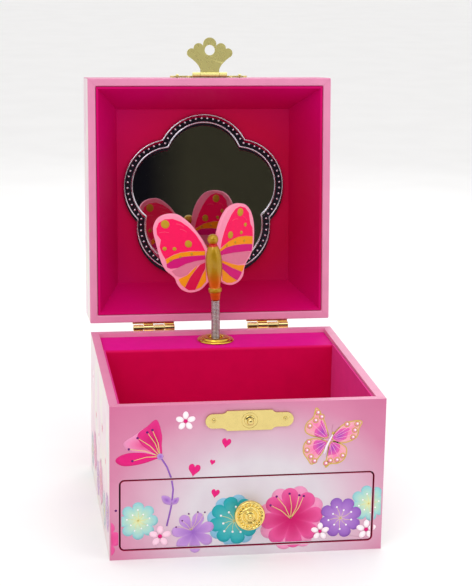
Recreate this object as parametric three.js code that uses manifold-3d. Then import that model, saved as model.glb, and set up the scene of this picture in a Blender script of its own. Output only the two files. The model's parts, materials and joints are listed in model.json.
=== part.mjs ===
// A small musical jewellery box: a square case with a drawer below an open compartment, a hinged lid
// with a mirror, and a butterfly that turns on a spring shaft above a wind-up musical movement.
// Millimetres. X is to the right, Y to the back, Z up. The origin is the centre of the case's underside.
// It is shown as it stands in use: lid open, drawer shut, hasp standing up.

import * as THREE from "three";
import { mergeVertices } from "three/addons/utils/BufferGeometryUtils.js";
import Module from "manifold-3d";

const wasm = await Module();
wasm.setup();

// ---- Driving dimensions ----

// Case
const CASE_WIDTH = 110;
const CASE_DEPTH = 110;
const CASE_HEIGHT = 63.7;
const WALL = 3.5; // board of the case and of the lid
const BASE_BOARD = 3.7;
const GLUE_LINE = 0.2; // left between glued or seated pieces

// Lid
const LID_HEIGHT = 29.5;
const LID_GAP = 1; // between the two rims when shut
const LID_OPEN_DEGREES = 95.7;
const HINGE_OFFSET = 2.6; // hinge axis behind the back face

// Drawer
const OPENING_HEIGHT = 29.9;
const STILE = 3.7; // front panel left at each side of the opening
const OPENING_CORNER = 2.2;
const DRAWER_SLOT = 0.7; // slot seen round the drawer front
const DRAWER_BOARD = 2.5;
const DRAWER_SIDE_INSET = 0.7; // box sides inside the ends of the drawer front
const DRAWER_SIDE_HEIGHT = 24;
const DRAWER_BACK_ROOM = 1.5; // behind the shut drawer

// Compartment
const FLOOR_BOARD = 2.3;
const FLOOR_OVER_OPENING = 0.4;
const LINING = 0.8;
const LINING_BELOW_RIM = 1;
const PARTITION_BOARD = 2.5;
const CHAMBER_DEPTH = 22.5; // from the partition's front face to the back panel
const DECK_BELOW_RIM = 1.7;

// Latch and hasp
const PLATE_WIDTH = 35;
const PLATE_THICKNESS = 0.8;
const LATCH_PLATE_HEIGHT = 8.2;
const HASP_PLATE_HEIGHT = 6.4;
const HASP_SHEET = 0.6;
const HASP_AXIS_OVER_RIM = 2.9;
const HASP_HOLE_DISTANCE = 10.8; // from the hasp's axis to its hole
const HASP_HOLE_RADIUS = 2.3;
const HASP_BARREL_RADIUS = 1;
const HASP_PIN_RADIUS = 0.45;
const HASP_BARREL = 15.5; // over both outer knuckles
const HASP_TAIL_BARREL = 8.5;
const NAIL_HOLE_RADIUS = 0.6;
const NAIL_HOLE_DEPTH = 2.6;
const STUD_HOLE_RADIUS = 1.25;
const STUD_SHANK = 2.8;
const NAIL_OVER_STUD = 0.4;
const STUD_RADIUS = 1.85;
const NAIL_SPREAD = 14.2; // nails each side of a plate's middle

// Hinges
const HINGE_SPREAD = 26.2;
const HINGE_LENGTH = 19;
const HINGE_KNUCKLES = 4;
const KNUCKLE_RADIUS = 1.65;
const KNUCKLE_GAP = 0.3;
const HINGE_PIN_RADIUS = 0.7;
const LEAF_THICKNESS = 0.7;
const LEAF_HEIGHT = 8.2;

// Running fits
const PIN_CLEARANCE = 0.08;

// Mirror
const MIRROR_LOBE_RADIUS = 21.8;
const MIRROR_LOBE_DISTANCE = 16.5;
const MIRROR_BAND = 3.7;
const MIRROR_TOWARDS_HINGE = 1.7;
const MIRROR_FRAME_THICKNESS = 1.2;
const MIRROR_GLASS_THICKNESS = 0.8;
const LID_LINING = 1;
const TRAY_RIM_RECESS = 0.6; // lining's edge inside the lid's rim
const LID_LINING_SLANT = 10; // how far each side of the lining leans in

// Knob
const KNOB_RADIUS = 6.15;
const KNOB_LENGTH = 8;

// Figure
const BUSH_RADIUS = 7.75;
const SHAFT_FROM_BACK = 9; // spindle axis in front of the back panel's inner face
const SPRING_RADIUS = 2;
const SPRING_LENGTH = 17.7;
const FIGURE_CONE_LENGTH = 4.5; // cone below the body's collar
const FIGURE_LEAN_DEGREES = 3.2;
const FIGURE_YAW_DEGREES = 9.2;
const WING_SWEEP_DEGREES = 28;
const WING_THICKNESS = 1.8;

// Movement
const GEAR_MODULE = 1;
const CYLINDER_TEETH = 12;
const SPINDLE_TEETH = 12;
const GOVERNOR_TEETH = 6;
const BARREL_TEETH = 24;
const PINION_TEETH = 8;
const CYLINDER_RADIUS = 6;
const CYLINDER_LENGTH = 18;
const SPINDLE_RADIUS = 1.5;
const COMB_TEETH = 18;
const KEY_SHAFT_RADIUS = 1.9;
const BEDPLATE = 1.6;
const COMB_THICKNESS = 0.9;
const COMB_HEEL_TO_CYLINDER = 25.5;
const COMB_HEEL_WIDTH = 7.5;
const FAN_HEIGHT = 2.8;
const FAN_RADIUS = 5.5;
const FAN_BELOW_GEARS = 5.4;
const STOP_ROD_RADIUS = 0.5;
const STOP_ROD_TRAVEL = 2;
const MOVEMENT_SCREW_RADIUS = 1.05;

// ---- Worked-out places ----

const degrees = THREE.MathUtils.degToRad;
const innerX = CASE_WIDTH / 2 - WALL;
const innerY = CASE_DEPTH / 2 - WALL;
const frontY = -CASE_DEPTH / 2;
const backY = CASE_DEPTH / 2;
const openingTop = BASE_BOARD + OPENING_HEIGHT;
const floorUnder = openingTop + FLOOR_OVER_OPENING;
const floorTop = floorUnder + FLOOR_BOARD;
const deckTop = CASE_HEIGHT - DECK_BELOW_RIM;
const deckUnder = deckTop - PARTITION_BOARD;
const partitionY = innerY - CHAMBER_DEPTH;
const shaftY = innerY - SHAFT_FROM_BACK;
const lidRim = CASE_HEIGHT + LID_GAP;
const lidTop = lidRim + LID_HEIGHT;
const hingeY = backY + HINGE_OFFSET;
const hingeZ = CASE_HEIGHT + LID_GAP / 2;
const haspAxisY = frontY - GLUE_LINE - PLATE_THICKNESS - 0.3 - HASP_SHEET / 2;
const haspAxisZ = lidRim + HASP_AXIS_OVER_RIM;
const studZ = haspAxisZ - HASP_HOLE_DISTANCE;
const drawerBackY = partitionY - DRAWER_BACK_ROOM;
const openingWidth = CASE_WIDTH - 2 * STILE;
const drawerHalfWidth = openingWidth / 2 - DRAWER_SLOT;
const knobZ = BASE_BOARD + OPENING_HEIGHT / 2;
const haspPlateZ = haspAxisZ + HASP_PLATE_HEIGHT / 2 + 0.9;
const springFoot = deckTop + 0.5;
const collarZ = deckTop + 0.7 + SPRING_LENGTH + FIGURE_CONE_LENGTH + 0.4;

// Movement layout: every arbor lies in the plane y = shaftY
const cylinderX = (-GEAR_MODULE * (CYLINDER_TEETH + SPINDLE_TEETH)) / 2;
const governorX = (GEAR_MODULE * (GOVERNOR_TEETH + SPINDLE_TEETH)) / 2;
const gearTop = deckUnder - 5.7;
const gearHeight = 2.6;
const cylinderTop = gearTop - gearHeight - 1.2;
const cylinderBottom = cylinderTop - CYLINDER_LENGTH;
const pinionTop = cylinderBottom - 2.3;
const pinionHeight = 1.8;
const crownRadius = 10.8; // mean radius of the barrel's crown teeth
const barrelZ = pinionTop - pinionHeight / 2 - crownRadius;
const pinionPitch = (crownRadius * PINION_TEETH) / BARREL_TEETH;
const flangeFrontY = shaftY + pinionPitch + 1.2;
const bedplateY = innerY - GLUE_LINE - 0.1 - BEDPLATE;
const combHeelX = cylinderX - COMB_HEEL_TO_CYLINDER;
const combFarX = combHeelX - COMB_HEEL_WIDTH;
const combScrewX = combFarX + COMB_HEEL_WIDTH / 2 + 0.25;
const combScrewZ = [cylinderBottom + 3, cylinderTop - 3];
const spindleLugTop = gearTop - gearHeight - 3.6;
const fanLow = gearTop - gearHeight - FAN_BELOW_GEARS;
const movementScrewX = [cylinderX - 26, cylinderX + 22];
const movementScrewZ = barrelZ - 4;
const combBackY = shaftY + 0.5;
const stopRodX = 1.15;
const stopRodY = innerY - 0.65;

// ---- Materials ----

const finish = (color, roughness, metalness) => new THREE.MeshStandardMaterial({ color, roughness, metalness });
const pinkPaper = finish(0xe596bb, 0.4, 0);
const rimPaper = finish(0xe88ab4, 0.45, 0);
const magentaLining = finish(0xb8104f, 0.7, 0);
const paleGold = finish(0xe3d27a, 0.3, 0.9);
const oliveBrass = finish(0xb0a96c, 0.35, 0.9);
const richGold = finish(0xd9a92a, 0.25, 0.9);
const steel = finish(0xb9b9bd, 0.35, 0.9);
const silvered = finish(0x33373d, 0.05, 1);
const gunmetal = finish(0x24242a, 0.3, 0.6);
const figureGold = finish(0xb99a20, 0.35, 0.4);
const wingPink = finish(0xff2368, 0.35, 0);

// ---- Geometry helpers ----

// A geometry as a solid, with its shared vertices merged.
function solidOf(geometry) {
  const bare = geometry.clone();
  bare.deleteAttribute("normal");
  bare.deleteAttribute("uv");
  const merged = mergeVertices(bare, 1e-4);
  const vertProperties = Float32Array.from(merged.attributes.position.array);
  const triVerts = Uint32Array.from(merged.index.array);
  return new wasm.Manifold(new wasm.Mesh({ numProp: 3, vertProperties, triVerts }));
}

function geometryOf(solid) {
  const mesh = solid.getMesh();
  const geometry = new THREE.BufferGeometry();
  geometry.setAttribute("position", new THREE.BufferAttribute(mesh.vertProperties, 3));
  geometry.setIndex(new THREE.BufferAttribute(mesh.triVerts, 1));
  geometry.computeVertexNormals();
  return geometry;
}

function join(...geometries) {
  return geometryOf(geometries.map(solidOf).reduce((whole, part) => whole.add(part)));
}

function cut(geometry, ...tools) {
  return geometryOf(tools.map(solidOf).reduce((whole, tool) => whole.subtract(tool), solidOf(geometry)));
}

// A box from its lowest to its highest corner.
function box(x0, x1, y0, y1, z0, z1) {
  const geometry = new THREE.BoxGeometry(x1 - x0, y1 - y0, z1 - z0);
  return geometry.translate((x0 + x1) / 2, (y0 + y1) / 2, (z0 + z1) / 2);
}

// Round rods along each axis, given by where they start and end.
function rodZ(radius, x, y, z0, z1, sides = 20) {
  const rod = new THREE.CylinderGeometry(radius, radius, z1 - z0, sides);
  return rod.rotateX(Math.PI / 2).translate(x, y, (z0 + z1) / 2);
}

function rodY(radius, x, z, y0, y1, sides = 20) {
  return new THREE.CylinderGeometry(radius, radius, y1 - y0, sides).translate(x, (y0 + y1) / 2, z);
}

function rodX(radius, y, z, x0, x1, sides = 20) {
  const rod = new THREE.CylinderGeometry(radius, radius, x1 - x0, sides);
  return rod.rotateZ(Math.PI / 2).translate((x0 + x1) / 2, y, z);
}

// A turned piece from [radius, height] pairs that run from the bottom of its axis to the top.
function turned(profile, sides = 28) {
  return new THREE.LatheGeometry(profile.map(([r, h]) => new THREE.Vector2(r, h)), sides);
}

const turnedUp = (profile, sides) => turned(profile, sides).rotateX(Math.PI / 2);
const turnedForward = (profile, sides) => turned(profile, sides).rotateX(Math.PI);

function plate(shape, thickness, curveSegments = 8) {
  return new THREE.ExtrudeGeometry(shape, { depth: thickness, bevelEnabled: false, curveSegments });
}

// A plate whose outline faces the front: the outline's y becomes Z, and it grows towards -Y from y.
function frontPlate(shape, thickness, y, curveSegments) {
  return plate(shape, thickness, curveSegments).rotateX(Math.PI / 2).translate(0, y, 0);
}

function polygon(points) {
  return new THREE.Shape(points.map(([x, y]) => new THREE.Vector2(x, y)));
}

function roundedRectangle(width, height, radius) {
  const x = width / 2;
  const y = height / 2;
  const shape = new THREE.Shape();
  shape.absarc(x - radius, y - radius, radius, 0, Math.PI / 2);
  shape.absarc(-x + radius, y - radius, radius, Math.PI / 2, Math.PI);
  shape.absarc(-x + radius, -y + radius, radius, Math.PI, Math.PI * 1.5);
  shape.absarc(x - radius, -y + radius, radius, Math.PI * 1.5, Math.PI * 2);
  return shape;
}

const root = new THREE.Group();

function piece(name, geometry, material, parent = root) {
  const mesh = new THREE.Mesh(geometry, material);
  mesh.name = name;
  parent.add(mesh);
  return mesh;
}

// Cutting rods for a plate's two nails, from in front of the box back to y.
function nailHolesAt(z, y) {
  return [-NAIL_SPREAD, NAIL_SPREAD].map((x) => rodY(NAIL_HOLE_RADIUS, x, z, frontY - 2.5, y, 10));
}

// ---- Boards of the case and of the lid ----

// A mitred board that stands along one side of the box: outside length, distance of its outer face
// from the middle, and the quarter turns that bring it there from the front.
function mitredBoard(length, distance, low, high, quarterTurns) {
  const half = length / 2 - GLUE_LINE;
  const outline = polygon([
    [-half, -distance],
    [half, -distance],
    [half - WALL, -distance + WALL],
    [-half + WALL, -distance + WALL],
  ]);
  return plate(outline, high - low).rotateZ((quarterTurns * Math.PI) / 2).translate(0, 0, low);
}

function addCaseBoards() {
  const opening = plate(roundedRectangle(openingWidth, OPENING_HEIGHT, OPENING_CORNER), WALL + 2, 4);
  opening.rotateX(Math.PI / 2).translate(0, frontY + WALL + 1, knobZ);
  const studHole = rodY(STUD_HOLE_RADIUS, 0, studZ, frontY - 1, frontY + STUD_SHANK);
  const nailHoles = nailHolesAt(studZ + NAIL_OVER_STUD, frontY + NAIL_HOLE_DEPTH);
  const front = mitredBoard(CASE_WIDTH, CASE_DEPTH / 2, 0, CASE_HEIGHT, 0);
  piece("front_panel", cut(front, opening, studHole, ...nailHoles), pinkPaper);
  piece("right_panel", mitredBoard(CASE_DEPTH, CASE_WIDTH / 2, 0, CASE_HEIGHT, 1), pinkPaper);
  const back = mitredBoard(CASE_WIDTH, CASE_DEPTH / 2, 0, CASE_HEIGHT, 2);
  const keyHole = rodY(4.5, cylinderX, barrelZ, innerY - 1, backY + 1, 24);
  const screwHole = MOVEMENT_SCREW_RADIUS + 0.35;
  const screwHoles = movementScrewX.map((x) => rodY(screwHole, x, movementScrewZ, innerY - 1, backY + 1, 12));
  piece("back_panel", cut(back, keyHole, ...screwHoles), pinkPaper);
  piece("left_panel", mitredBoard(CASE_DEPTH, CASE_WIDTH / 2, 0, CASE_HEIGHT, 3), pinkPaper);
  const x = innerX - GLUE_LINE;
  const y = innerY - GLUE_LINE;
  piece("bottom_panel", box(-x, x, -y, y, 0, BASE_BOARD), rimPaper);
  piece("compartment_floor", box(-x, x, -y, partitionY - GLUE_LINE, floorUnder, floorTop), magentaLining);
  const partitionBack = partitionY + PARTITION_BOARD;
  const partition = box(-x, x, partitionY, partitionBack, BASE_BOARD + GLUE_LINE, deckUnder - GLUE_LINE);
  piece("movement_partition", partition, magentaLining);
  const bushHole = rodZ(5, 0, shaftY, deckUnder - 1, deckTop + 1, 24);
  const rodNotch = box(stopRodX - 0.8, stopRodX + 0.8, stopRodY - 0.55, innerY + 1, deckUnder - 1, deckTop + 1);
  piece("movement_deck", cut(box(-x, x, partitionY, y, deckUnder, deckTop), bushHole, rodNotch), magentaLining);
}

function addLinings() {
  const outerX = innerX - GLUE_LINE;
  const outerY = -innerY + GLUE_LINE;
  const low = floorTop + GLUE_LINE;
  const high = CASE_HEIGHT - LINING_BELOW_RIM;
  const backEnd = partitionY - GLUE_LINE;
  piece("lining_left", box(-outerX, -outerX + LINING, outerY, backEnd, low, high), magentaLining);
  piece("lining_right", box(outerX - LINING, outerX, outerY, backEnd, low, high), magentaLining);
  const insideX = outerX - LINING - GLUE_LINE;
  piece("lining_front", box(-insideX, insideX, outerY, outerY + LINING, low, high), magentaLining);
  const linerFront = outerY + LINING + GLUE_LINE;
  piece("compartment_liner", box(-insideX, insideX, linerFront, backEnd, low, low + LINING), magentaLining);
}

// ---- Latch plate and stud ----

// A plate with a straight middle, ogee shoulders and round ends.
function lobedPlate(width, height) {
  const middle = width * 0.257;
  const top = height / 2;
  const end = height * 0.36;
  const endCentre = width / 2 - end;
  const shape = new THREE.Shape();
  shape.moveTo(middle, -top);
  shape.quadraticCurveTo(middle + 0.6, -end, middle + 2.4, -end);
  shape.lineTo(endCentre, -end);
  shape.absarc(endCentre, 0, end, -Math.PI / 2, Math.PI / 2);
  shape.lineTo(middle + 2.4, end);
  shape.quadraticCurveTo(middle + 0.6, end, middle, top);
  shape.lineTo(-middle, top);
  shape.quadraticCurveTo(-middle - 0.6, end, -middle - 2.4, end);
  shape.lineTo(-endCentre, end);
  shape.absarc(-endCentre, 0, end, Math.PI / 2, Math.PI * 1.5);
  shape.lineTo(-middle - 2.4, -end);
  shape.quadraticCurveTo(-middle - 0.6, -end, -middle, -top);
  return shape;
}

// A round-headed nail that points to the back, with its head's underside at y.
function nail(x, y, z) {
  const tip = -NAIL_HOLE_DEPTH;
  const profile = [[0, tip], [0.4, tip], [0.4, 0], [0.85, 0], [0.6, 0.45], [0, 0.6]];
  return turnedForward(profile, 10).translate(x, y, z);
}

function addLatch() {
  const seat = frontY - GLUE_LINE;
  const face = seat - PLATE_THICKNESS;
  const flat = frontPlate(lobedPlate(PLATE_WIDTH, LATCH_PLATE_HEIGHT), PLATE_THICKNESS, seat);
  const outline = flat.translate(0, 0, studZ);
  const studHole = rodY(STUD_HOLE_RADIUS, 0, studZ, face - 1, seat + 1);
  const nailZ = studZ + NAIL_OVER_STUD;
  const nailHoles = nailHolesAt(nailZ, seat + 1);
  piece("latch_plate", cut(outline, studHole, ...nailHoles), paleGold);
  piece("latch_nail_left", nail(-NAIL_SPREAD, face - 0.1, nailZ), paleGold);
  piece("latch_nail_right", nail(NAIL_SPREAD, face - 0.1, nailZ), paleGold);
  const profile = [
    [0, -STUD_SHANK],
    [1, -STUD_SHANK],
    [1, 0],
    [STUD_RADIUS, 0],
    [STUD_RADIUS, 0.9],
    [STUD_RADIUS * 0.8, 1.3],
    [1, 1.5],
    [1.2, 2],
    [0.95, 2.6],
    [0, 2.9],
  ];
  piece("latch_stud", turnedForward(profile, 20).translate(0, face - 0.1, studZ), paleGold);
}

// ---- Hinges ----

// A leaf of a hinge: a flat plate on the box's back face and every other knuckle. side is -1 for the
// leaf below the axis, on the case, and 1 for the leaf above it, on the lid.
function hingeLeaf(middleX, side, firstKnuckle) {
  const start = middleX - HINGE_LENGTH / 2;
  const pitch = HINGE_LENGTH / HINGE_KNUCKLES;
  const seat = backY + GLUE_LINE;
  const near = hingeZ + side * 1.8;
  const far = near + side * LEAF_HEIGHT;
  const spanZ = (a, b) => [Math.min(a, b), Math.max(a, b)];
  const parts = [box(start, start + HINGE_LENGTH, seat, seat + LEAF_THICKNESS, ...spanZ(near, far))];
  for (let i = firstKnuckle; i < HINGE_KNUCKLES; i += 2) {
    const x0 = start + i * pitch + KNUCKLE_GAP / 2;
    const x1 = start + (i + 1) * pitch - KNUCKLE_GAP / 2;
    parts.push(box(x0, x1, seat, hingeY, ...spanZ(hingeZ + side * 1, hingeZ + side * 2.6)));
    parts.push(rodX(KNUCKLE_RADIUS, hingeY, hingeZ, x0, x1, 16));
  }
  const bore = rodX(HINGE_PIN_RADIUS + PIN_CLEARANCE, hingeY, hingeZ, start - 1, start + HINGE_LENGTH + 1, 16);
  return cut(join(...parts), bore);
}

// ---- Lid ----

// The lid's pieces are placed as they lie when it is shut; this group turns them open about the hinge.
function openedLid() {
  const pivot = new THREE.Group();
  pivot.position.set(0, hingeY, hingeZ);
  pivot.rotation.x = -degrees(LID_OPEN_DEGREES);
  const shut = new THREE.Group();
  shut.position.set(0, -hingeY, -hingeZ);
  pivot.add(shut);
  root.add(pivot);
  return shut;
}

// Five round lobes about a middle, the first pointing up the outline.
function fiveLobes(lobeRadius, lobeDistance) {
  const lobes = 5;
  const half = Math.PI / lobes;
  const across = lobeDistance * Math.sin(half);
  const cusp = lobeDistance * Math.cos(half) + Math.sqrt(lobeRadius ** 2 - across ** 2);
  const reach = Math.atan2(cusp * Math.sin(half), cusp * Math.cos(half) - lobeDistance);
  const shape = new THREE.Shape();
  for (let i = 0; i < lobes; i += 1) {
    const towards = Math.PI / 2 + i * 2 * half;
    const x = lobeDistance * Math.cos(towards);
    const y = lobeDistance * Math.sin(towards);
    shape.absarc(x, y, lobeRadius, towards - reach, towards + reach);
  }
  return shape;
}

function addLid(lid) {
  const boardTop = lidTop - WALL - GLUE_LINE;
  const nailHoles = nailHolesAt(haspPlateZ, frontY + NAIL_HOLE_DEPTH);
  const front = mitredBoard(CASE_WIDTH, CASE_DEPTH / 2, lidRim, boardTop, 0);
  piece("lid_front_rail", cut(front, ...nailHoles), pinkPaper, lid);
  piece("lid_right_rail", mitredBoard(CASE_DEPTH, CASE_WIDTH / 2, lidRim, boardTop, 1), pinkPaper, lid);
  piece("lid_back_rail", mitredBoard(CASE_WIDTH, CASE_DEPTH / 2, lidRim, boardTop, 2), pinkPaper, lid);
  piece("lid_left_rail", mitredBoard(CASE_DEPTH, CASE_WIDTH / 2, lidRim, boardTop, 3), pinkPaper, lid);
  const x = CASE_WIDTH / 2;
  const y = CASE_DEPTH / 2;
  piece("lid_top_panel", box(-x, x, -y, y, boardTop + GLUE_LINE, lidTop), pinkPaper, lid);

  // The lining is a square tray with slanting sides: a turned profile with four sides, stretched to the plan.
  const outer = innerX - GLUE_LINE;
  const trayTop = boardTop;
  const trayRim = lidRim + TRAY_RIM_RECESS;
  const profile = [
    [0, trayTop - LID_LINING],
    [outer - LID_LINING_SLANT - LID_LINING, trayTop - LID_LINING],
    [outer - LID_LINING, trayRim],
    [outer, trayRim],
    [outer - LID_LINING_SLANT, trayTop],
    [0, trayTop],
  ];
  const tray = turnedUp(profile.map(([r, h]) => [r * Math.SQRT2, h]), 4).rotateZ(Math.PI / 4);
  tray.scale(1, (innerY - GLUE_LINE) / outer, 1);
  piece("lid_lining", tray, magentaLining, lid);

  const seat = trayTop - LID_LINING - GLUE_LINE;
  const ring = fiveLobes(MIRROR_LOBE_RADIUS, MIRROR_LOBE_DISTANCE);
  ring.holes.push(fiveLobes(MIRROR_LOBE_RADIUS - MIRROR_BAND, MIRROR_LOBE_DISTANCE));
  const frame = plate(ring, MIRROR_FRAME_THICKNESS, 9).rotateZ(Math.PI);
  frame.translate(0, MIRROR_TOWARDS_HINGE, seat - MIRROR_FRAME_THICKNESS);
  piece("mirror_frame", frame, gunmetal, lid);
  const glassShape = fiveLobes(MIRROR_LOBE_RADIUS - MIRROR_BAND - GLUE_LINE, MIRROR_LOBE_DISTANCE);
  const glass = plate(glassShape, MIRROR_GLASS_THICKNESS, 9).rotateZ(Math.PI);
  glass.translate(0, MIRROR_TOWARDS_HINGE, seat - MIRROR_GLASS_THICKNESS);
  piece("mirror_glass", glass, silvered, lid);
}

// ---- Hasp ----

function addHaspPlate(lid) {
  const seat = frontY - GLUE_LINE;
  const face = seat - PLATE_THICKNESS;
  const flat = frontPlate(lobedPlate(PLATE_WIDTH, HASP_PLATE_HEIGHT), PLATE_THICKNESS, seat);
  const parts = [flat.translate(0, 0, haspPlateZ)];
  const inner = HASP_TAIL_BARREL / 2 + 0.2;
  const outer = HASP_BARREL / 2;
  for (const [x0, x1] of [[-outer, -inner], [inner, outer]]) {
    parts.push(box(x0, x1, haspAxisY, face + 0.4, haspAxisZ + 0.3, haspAxisZ + 2));
    parts.push(rodX(HASP_BARREL_RADIUS, haspAxisY, haspAxisZ, x0, x1, 14));
  }
  const nailHoles = nailHolesAt(haspPlateZ, seat + 1);
  const bore = rodX(HASP_PIN_RADIUS + PIN_CLEARANCE, haspAxisY, haspAxisZ, -outer - 1, outer + 1, 16);
  piece("hasp_plate", cut(join(...parts), bore, ...nailHoles), oliveBrass, lid);
  piece("hasp_pin", rodX(HASP_PIN_RADIUS, haspAxisY, haspAxisZ, -outer, outer, 12), oliveBrass, lid);
  piece("hasp_nail_left", nail(-NAIL_SPREAD, face - 0.1, haspPlateZ), oliveBrass, lid);
  piece("hasp_nail_right", nail(NAIL_SPREAD, face - 0.1, haspPlateZ), oliveBrass, lid);
}

// The swinging tail, drawn as it hangs over the stud when the box is shut: a neck that flares to five lobes.
function addHaspTail(lid) {
  const neck = HASP_TAIL_BARREL / 2;
  const flare = new THREE.Shape();
  flare.moveTo(neck, 0);
  flare.lineTo(neck, 2);
  flare.quadraticCurveTo(neck + 0.6, 4.6, 8.9, 7.5);
  flare.lineTo(8.2, 9.5);
  flare.lineTo(5, 11.6);
  flare.lineTo(0, 13.4);
  flare.lineTo(-5, 11.6);
  flare.lineTo(-8.2, 9.5);
  flare.lineTo(-8.9, 7.5);
  flare.quadraticCurveTo(-neck - 0.6, 4.6, -neck, 2);
  flare.lineTo(-neck, 0);
  const lobes = [[8.2, 9.5, 2.1], [5, 11.6, 2.3], [0, 13.4, 3], [-5, 11.6, 2.3], [-8.2, 9.5, 2.1]];
  const sheet = lobes.map(([x, y, radius]) => {
    const disc = new THREE.Shape();
    disc.absarc(x, y, radius, 0, Math.PI * 2);
    return plate(disc, HASP_SHEET, 12);
  });
  sheet.push(plate(flare, HASP_SHEET));
  const hole = new THREE.Shape();
  hole.absarc(0, HASP_HOLE_DISTANCE, HASP_HOLE_RADIUS, 0, Math.PI * 2);
  const holeTool = plate(hole, HASP_SHEET + 2, 10).translate(0, 0, -1);
  const flat = cut(join(...sheet), holeTool).translate(0, 0, -HASP_SHEET / 2);
  const barrel = rodX(HASP_BARREL_RADIUS, 0, 0, -neck, neck, 14);
  const bore = rodX(HASP_PIN_RADIUS + PIN_CLEARANCE, 0, 0, -neck - 1, neck + 1, 16);
  // In the lid's shut position the tail stands out to the front, level with the rim.
  const tail = cut(join(flat, barrel), bore).rotateZ(Math.PI).translate(0, haspAxisY, haspAxisZ);
  piece("hasp_tail", tail, oliveBrass, lid);
}

// ---- Drawer ----

function addDrawer() {
  const side = drawerHalfWidth - DRAWER_SIDE_INSET;
  const low = BASE_BOARD + 0.4;
  const high = low + DRAWER_SIDE_HEIGHT;
  const inside = side - DRAWER_BOARD;
  const boxFront = frontY + WALL + GLUE_LINE;
  const height = OPENING_HEIGHT - 2 * DRAWER_SLOT;
  const outline = roundedRectangle(2 * drawerHalfWidth, height, OPENING_CORNER - DRAWER_SLOT);
  const board = frontPlate(outline, WALL, frontY + WALL, 4).translate(0, 0, knobZ);
  const screwHole = rodY(1.6, 0, knobZ, frontY - 1, frontY + WALL + 1, 16);
  piece("drawer_front", cut(board, screwHole), pinkPaper);
  piece("drawer_left_side", box(-side, -inside, boxFront, drawerBackY, low, high), rimPaper);
  piece("drawer_right_side", box(inside, side, boxFront, drawerBackY, low, high), rimPaper);
  const x = inside - GLUE_LINE;
  piece("drawer_back", box(-x, x, drawerBackY - DRAWER_BOARD, drawerBackY, low, high), rimPaper);
  const floorBack = drawerBackY - DRAWER_BOARD - GLUE_LINE;
  piece("drawer_bottom", box(-x, x, boxFront, floorBack, low + 0.9, low + 2.9), rimPaper);
  const linerLow = low + 2.9 + GLUE_LINE;
  const linerX = x - 0.3;
  const linerTop = linerLow + LINING;
  const liner = box(-linerX, linerX, boxFront + 0.3, floorBack - 0.3, linerLow, linerTop);
  piece("drawer_liner", liner, magentaLining);

  const foot = GLUE_LINE / 2;
  const knobProfile = [
    [0, 4.6],
    [1.45, 4.6],
    [1.45, foot],
    [3.6, foot],
    [2.9, 1.2],
    [2.9, 2.6],
    [KNOB_RADIUS * 0.8, 3.3],
    [KNOB_RADIUS, 4.3],
    [KNOB_RADIUS, 5.6],
    [KNOB_RADIUS * 0.88, 6.9],
    [KNOB_RADIUS * 0.5, 6.9],
    [KNOB_RADIUS * 0.4, 7.4],
    [0, KNOB_LENGTH],
  ];
  piece("drawer_knob", turnedForward(knobProfile, 24).translate(0, frontY, knobZ), richGold);
  const headSeat = -WALL - GLUE_LINE;
  const headTip = headSeat - 1.6;
  const screwProfile = [[0, headTip], [2, headTip], [2.8, headSeat], [1.3, headSeat], [1.3, 4.3], [0, 4.3]];
  piece("knob_screw", turnedForward(screwProfile, 16).translate(0, frontY, knobZ), steel);
}

// ---- Figure on its spring ----

// The butterfly's body as [radius, height above its collar] pairs.
const bodyProfile = [
  [0, -FIGURE_CONE_LENGTH],
  [2, -FIGURE_CONE_LENGTH],
  [2.55, -1],
  [3, -0.7],
  [3, 0.7],
  [2.35, 1],
  [2.9, 4.5],
  [3.5, 8.5],
  [3.67, 12.7],
  [3.2, 17],
  [2.3, 20.2],
  [2.05, 20.9],
  [2.3, 21.8],
  [2.4, 23],
  [2.1, 24.2],
  [1.3, 25],
  [0, 25.3],
];

// The outline of one wing, as [outwards, upwards] points measured from the body's axis and its collar.
const wingOutline = [
  [1.2, 6],
  [1.2, 17],
  [4, 22],
  [8.4, 28.4],
  [13.5, 32.8],
  [19.3, 34.6],
  [24.4, 32.4],
  [26.2, 27.6],
  [25.5, 20.5],
  [23.7, 14.4],
  [21.4, 9.4],
  [17.4, 6.7],
  [16.3, 3.6],
  [13.6, 0.6],
  [10.4, -0.4],
  [6.6, 0.4],
  [4, 3],
];

function wing(side) {
  const points = [...wingOutline, wingOutline[0]].map(([s, h]) => new THREE.Vector2(side * s, h));
  const curve = new THREE.SplineCurve(points);
  const outline = new THREE.Shape(curve.getPoints(40).slice(0, -1));
  const sheet = plate(outline, WING_THICKNESS).translate(0, 0, -WING_THICKNESS / 2);
  sheet.rotateX(Math.PI / 2).rotateZ(side * degrees(WING_SWEEP_DEGREES));
  const room = 0.3;
  const clearBody = bodyProfile.map(([r, h]) => (r === 0 ? [r, h + Math.sign(h) * room] : [r + room, h]));
  return cut(sheet, turnedUp(clearBody, 18));
}

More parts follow.
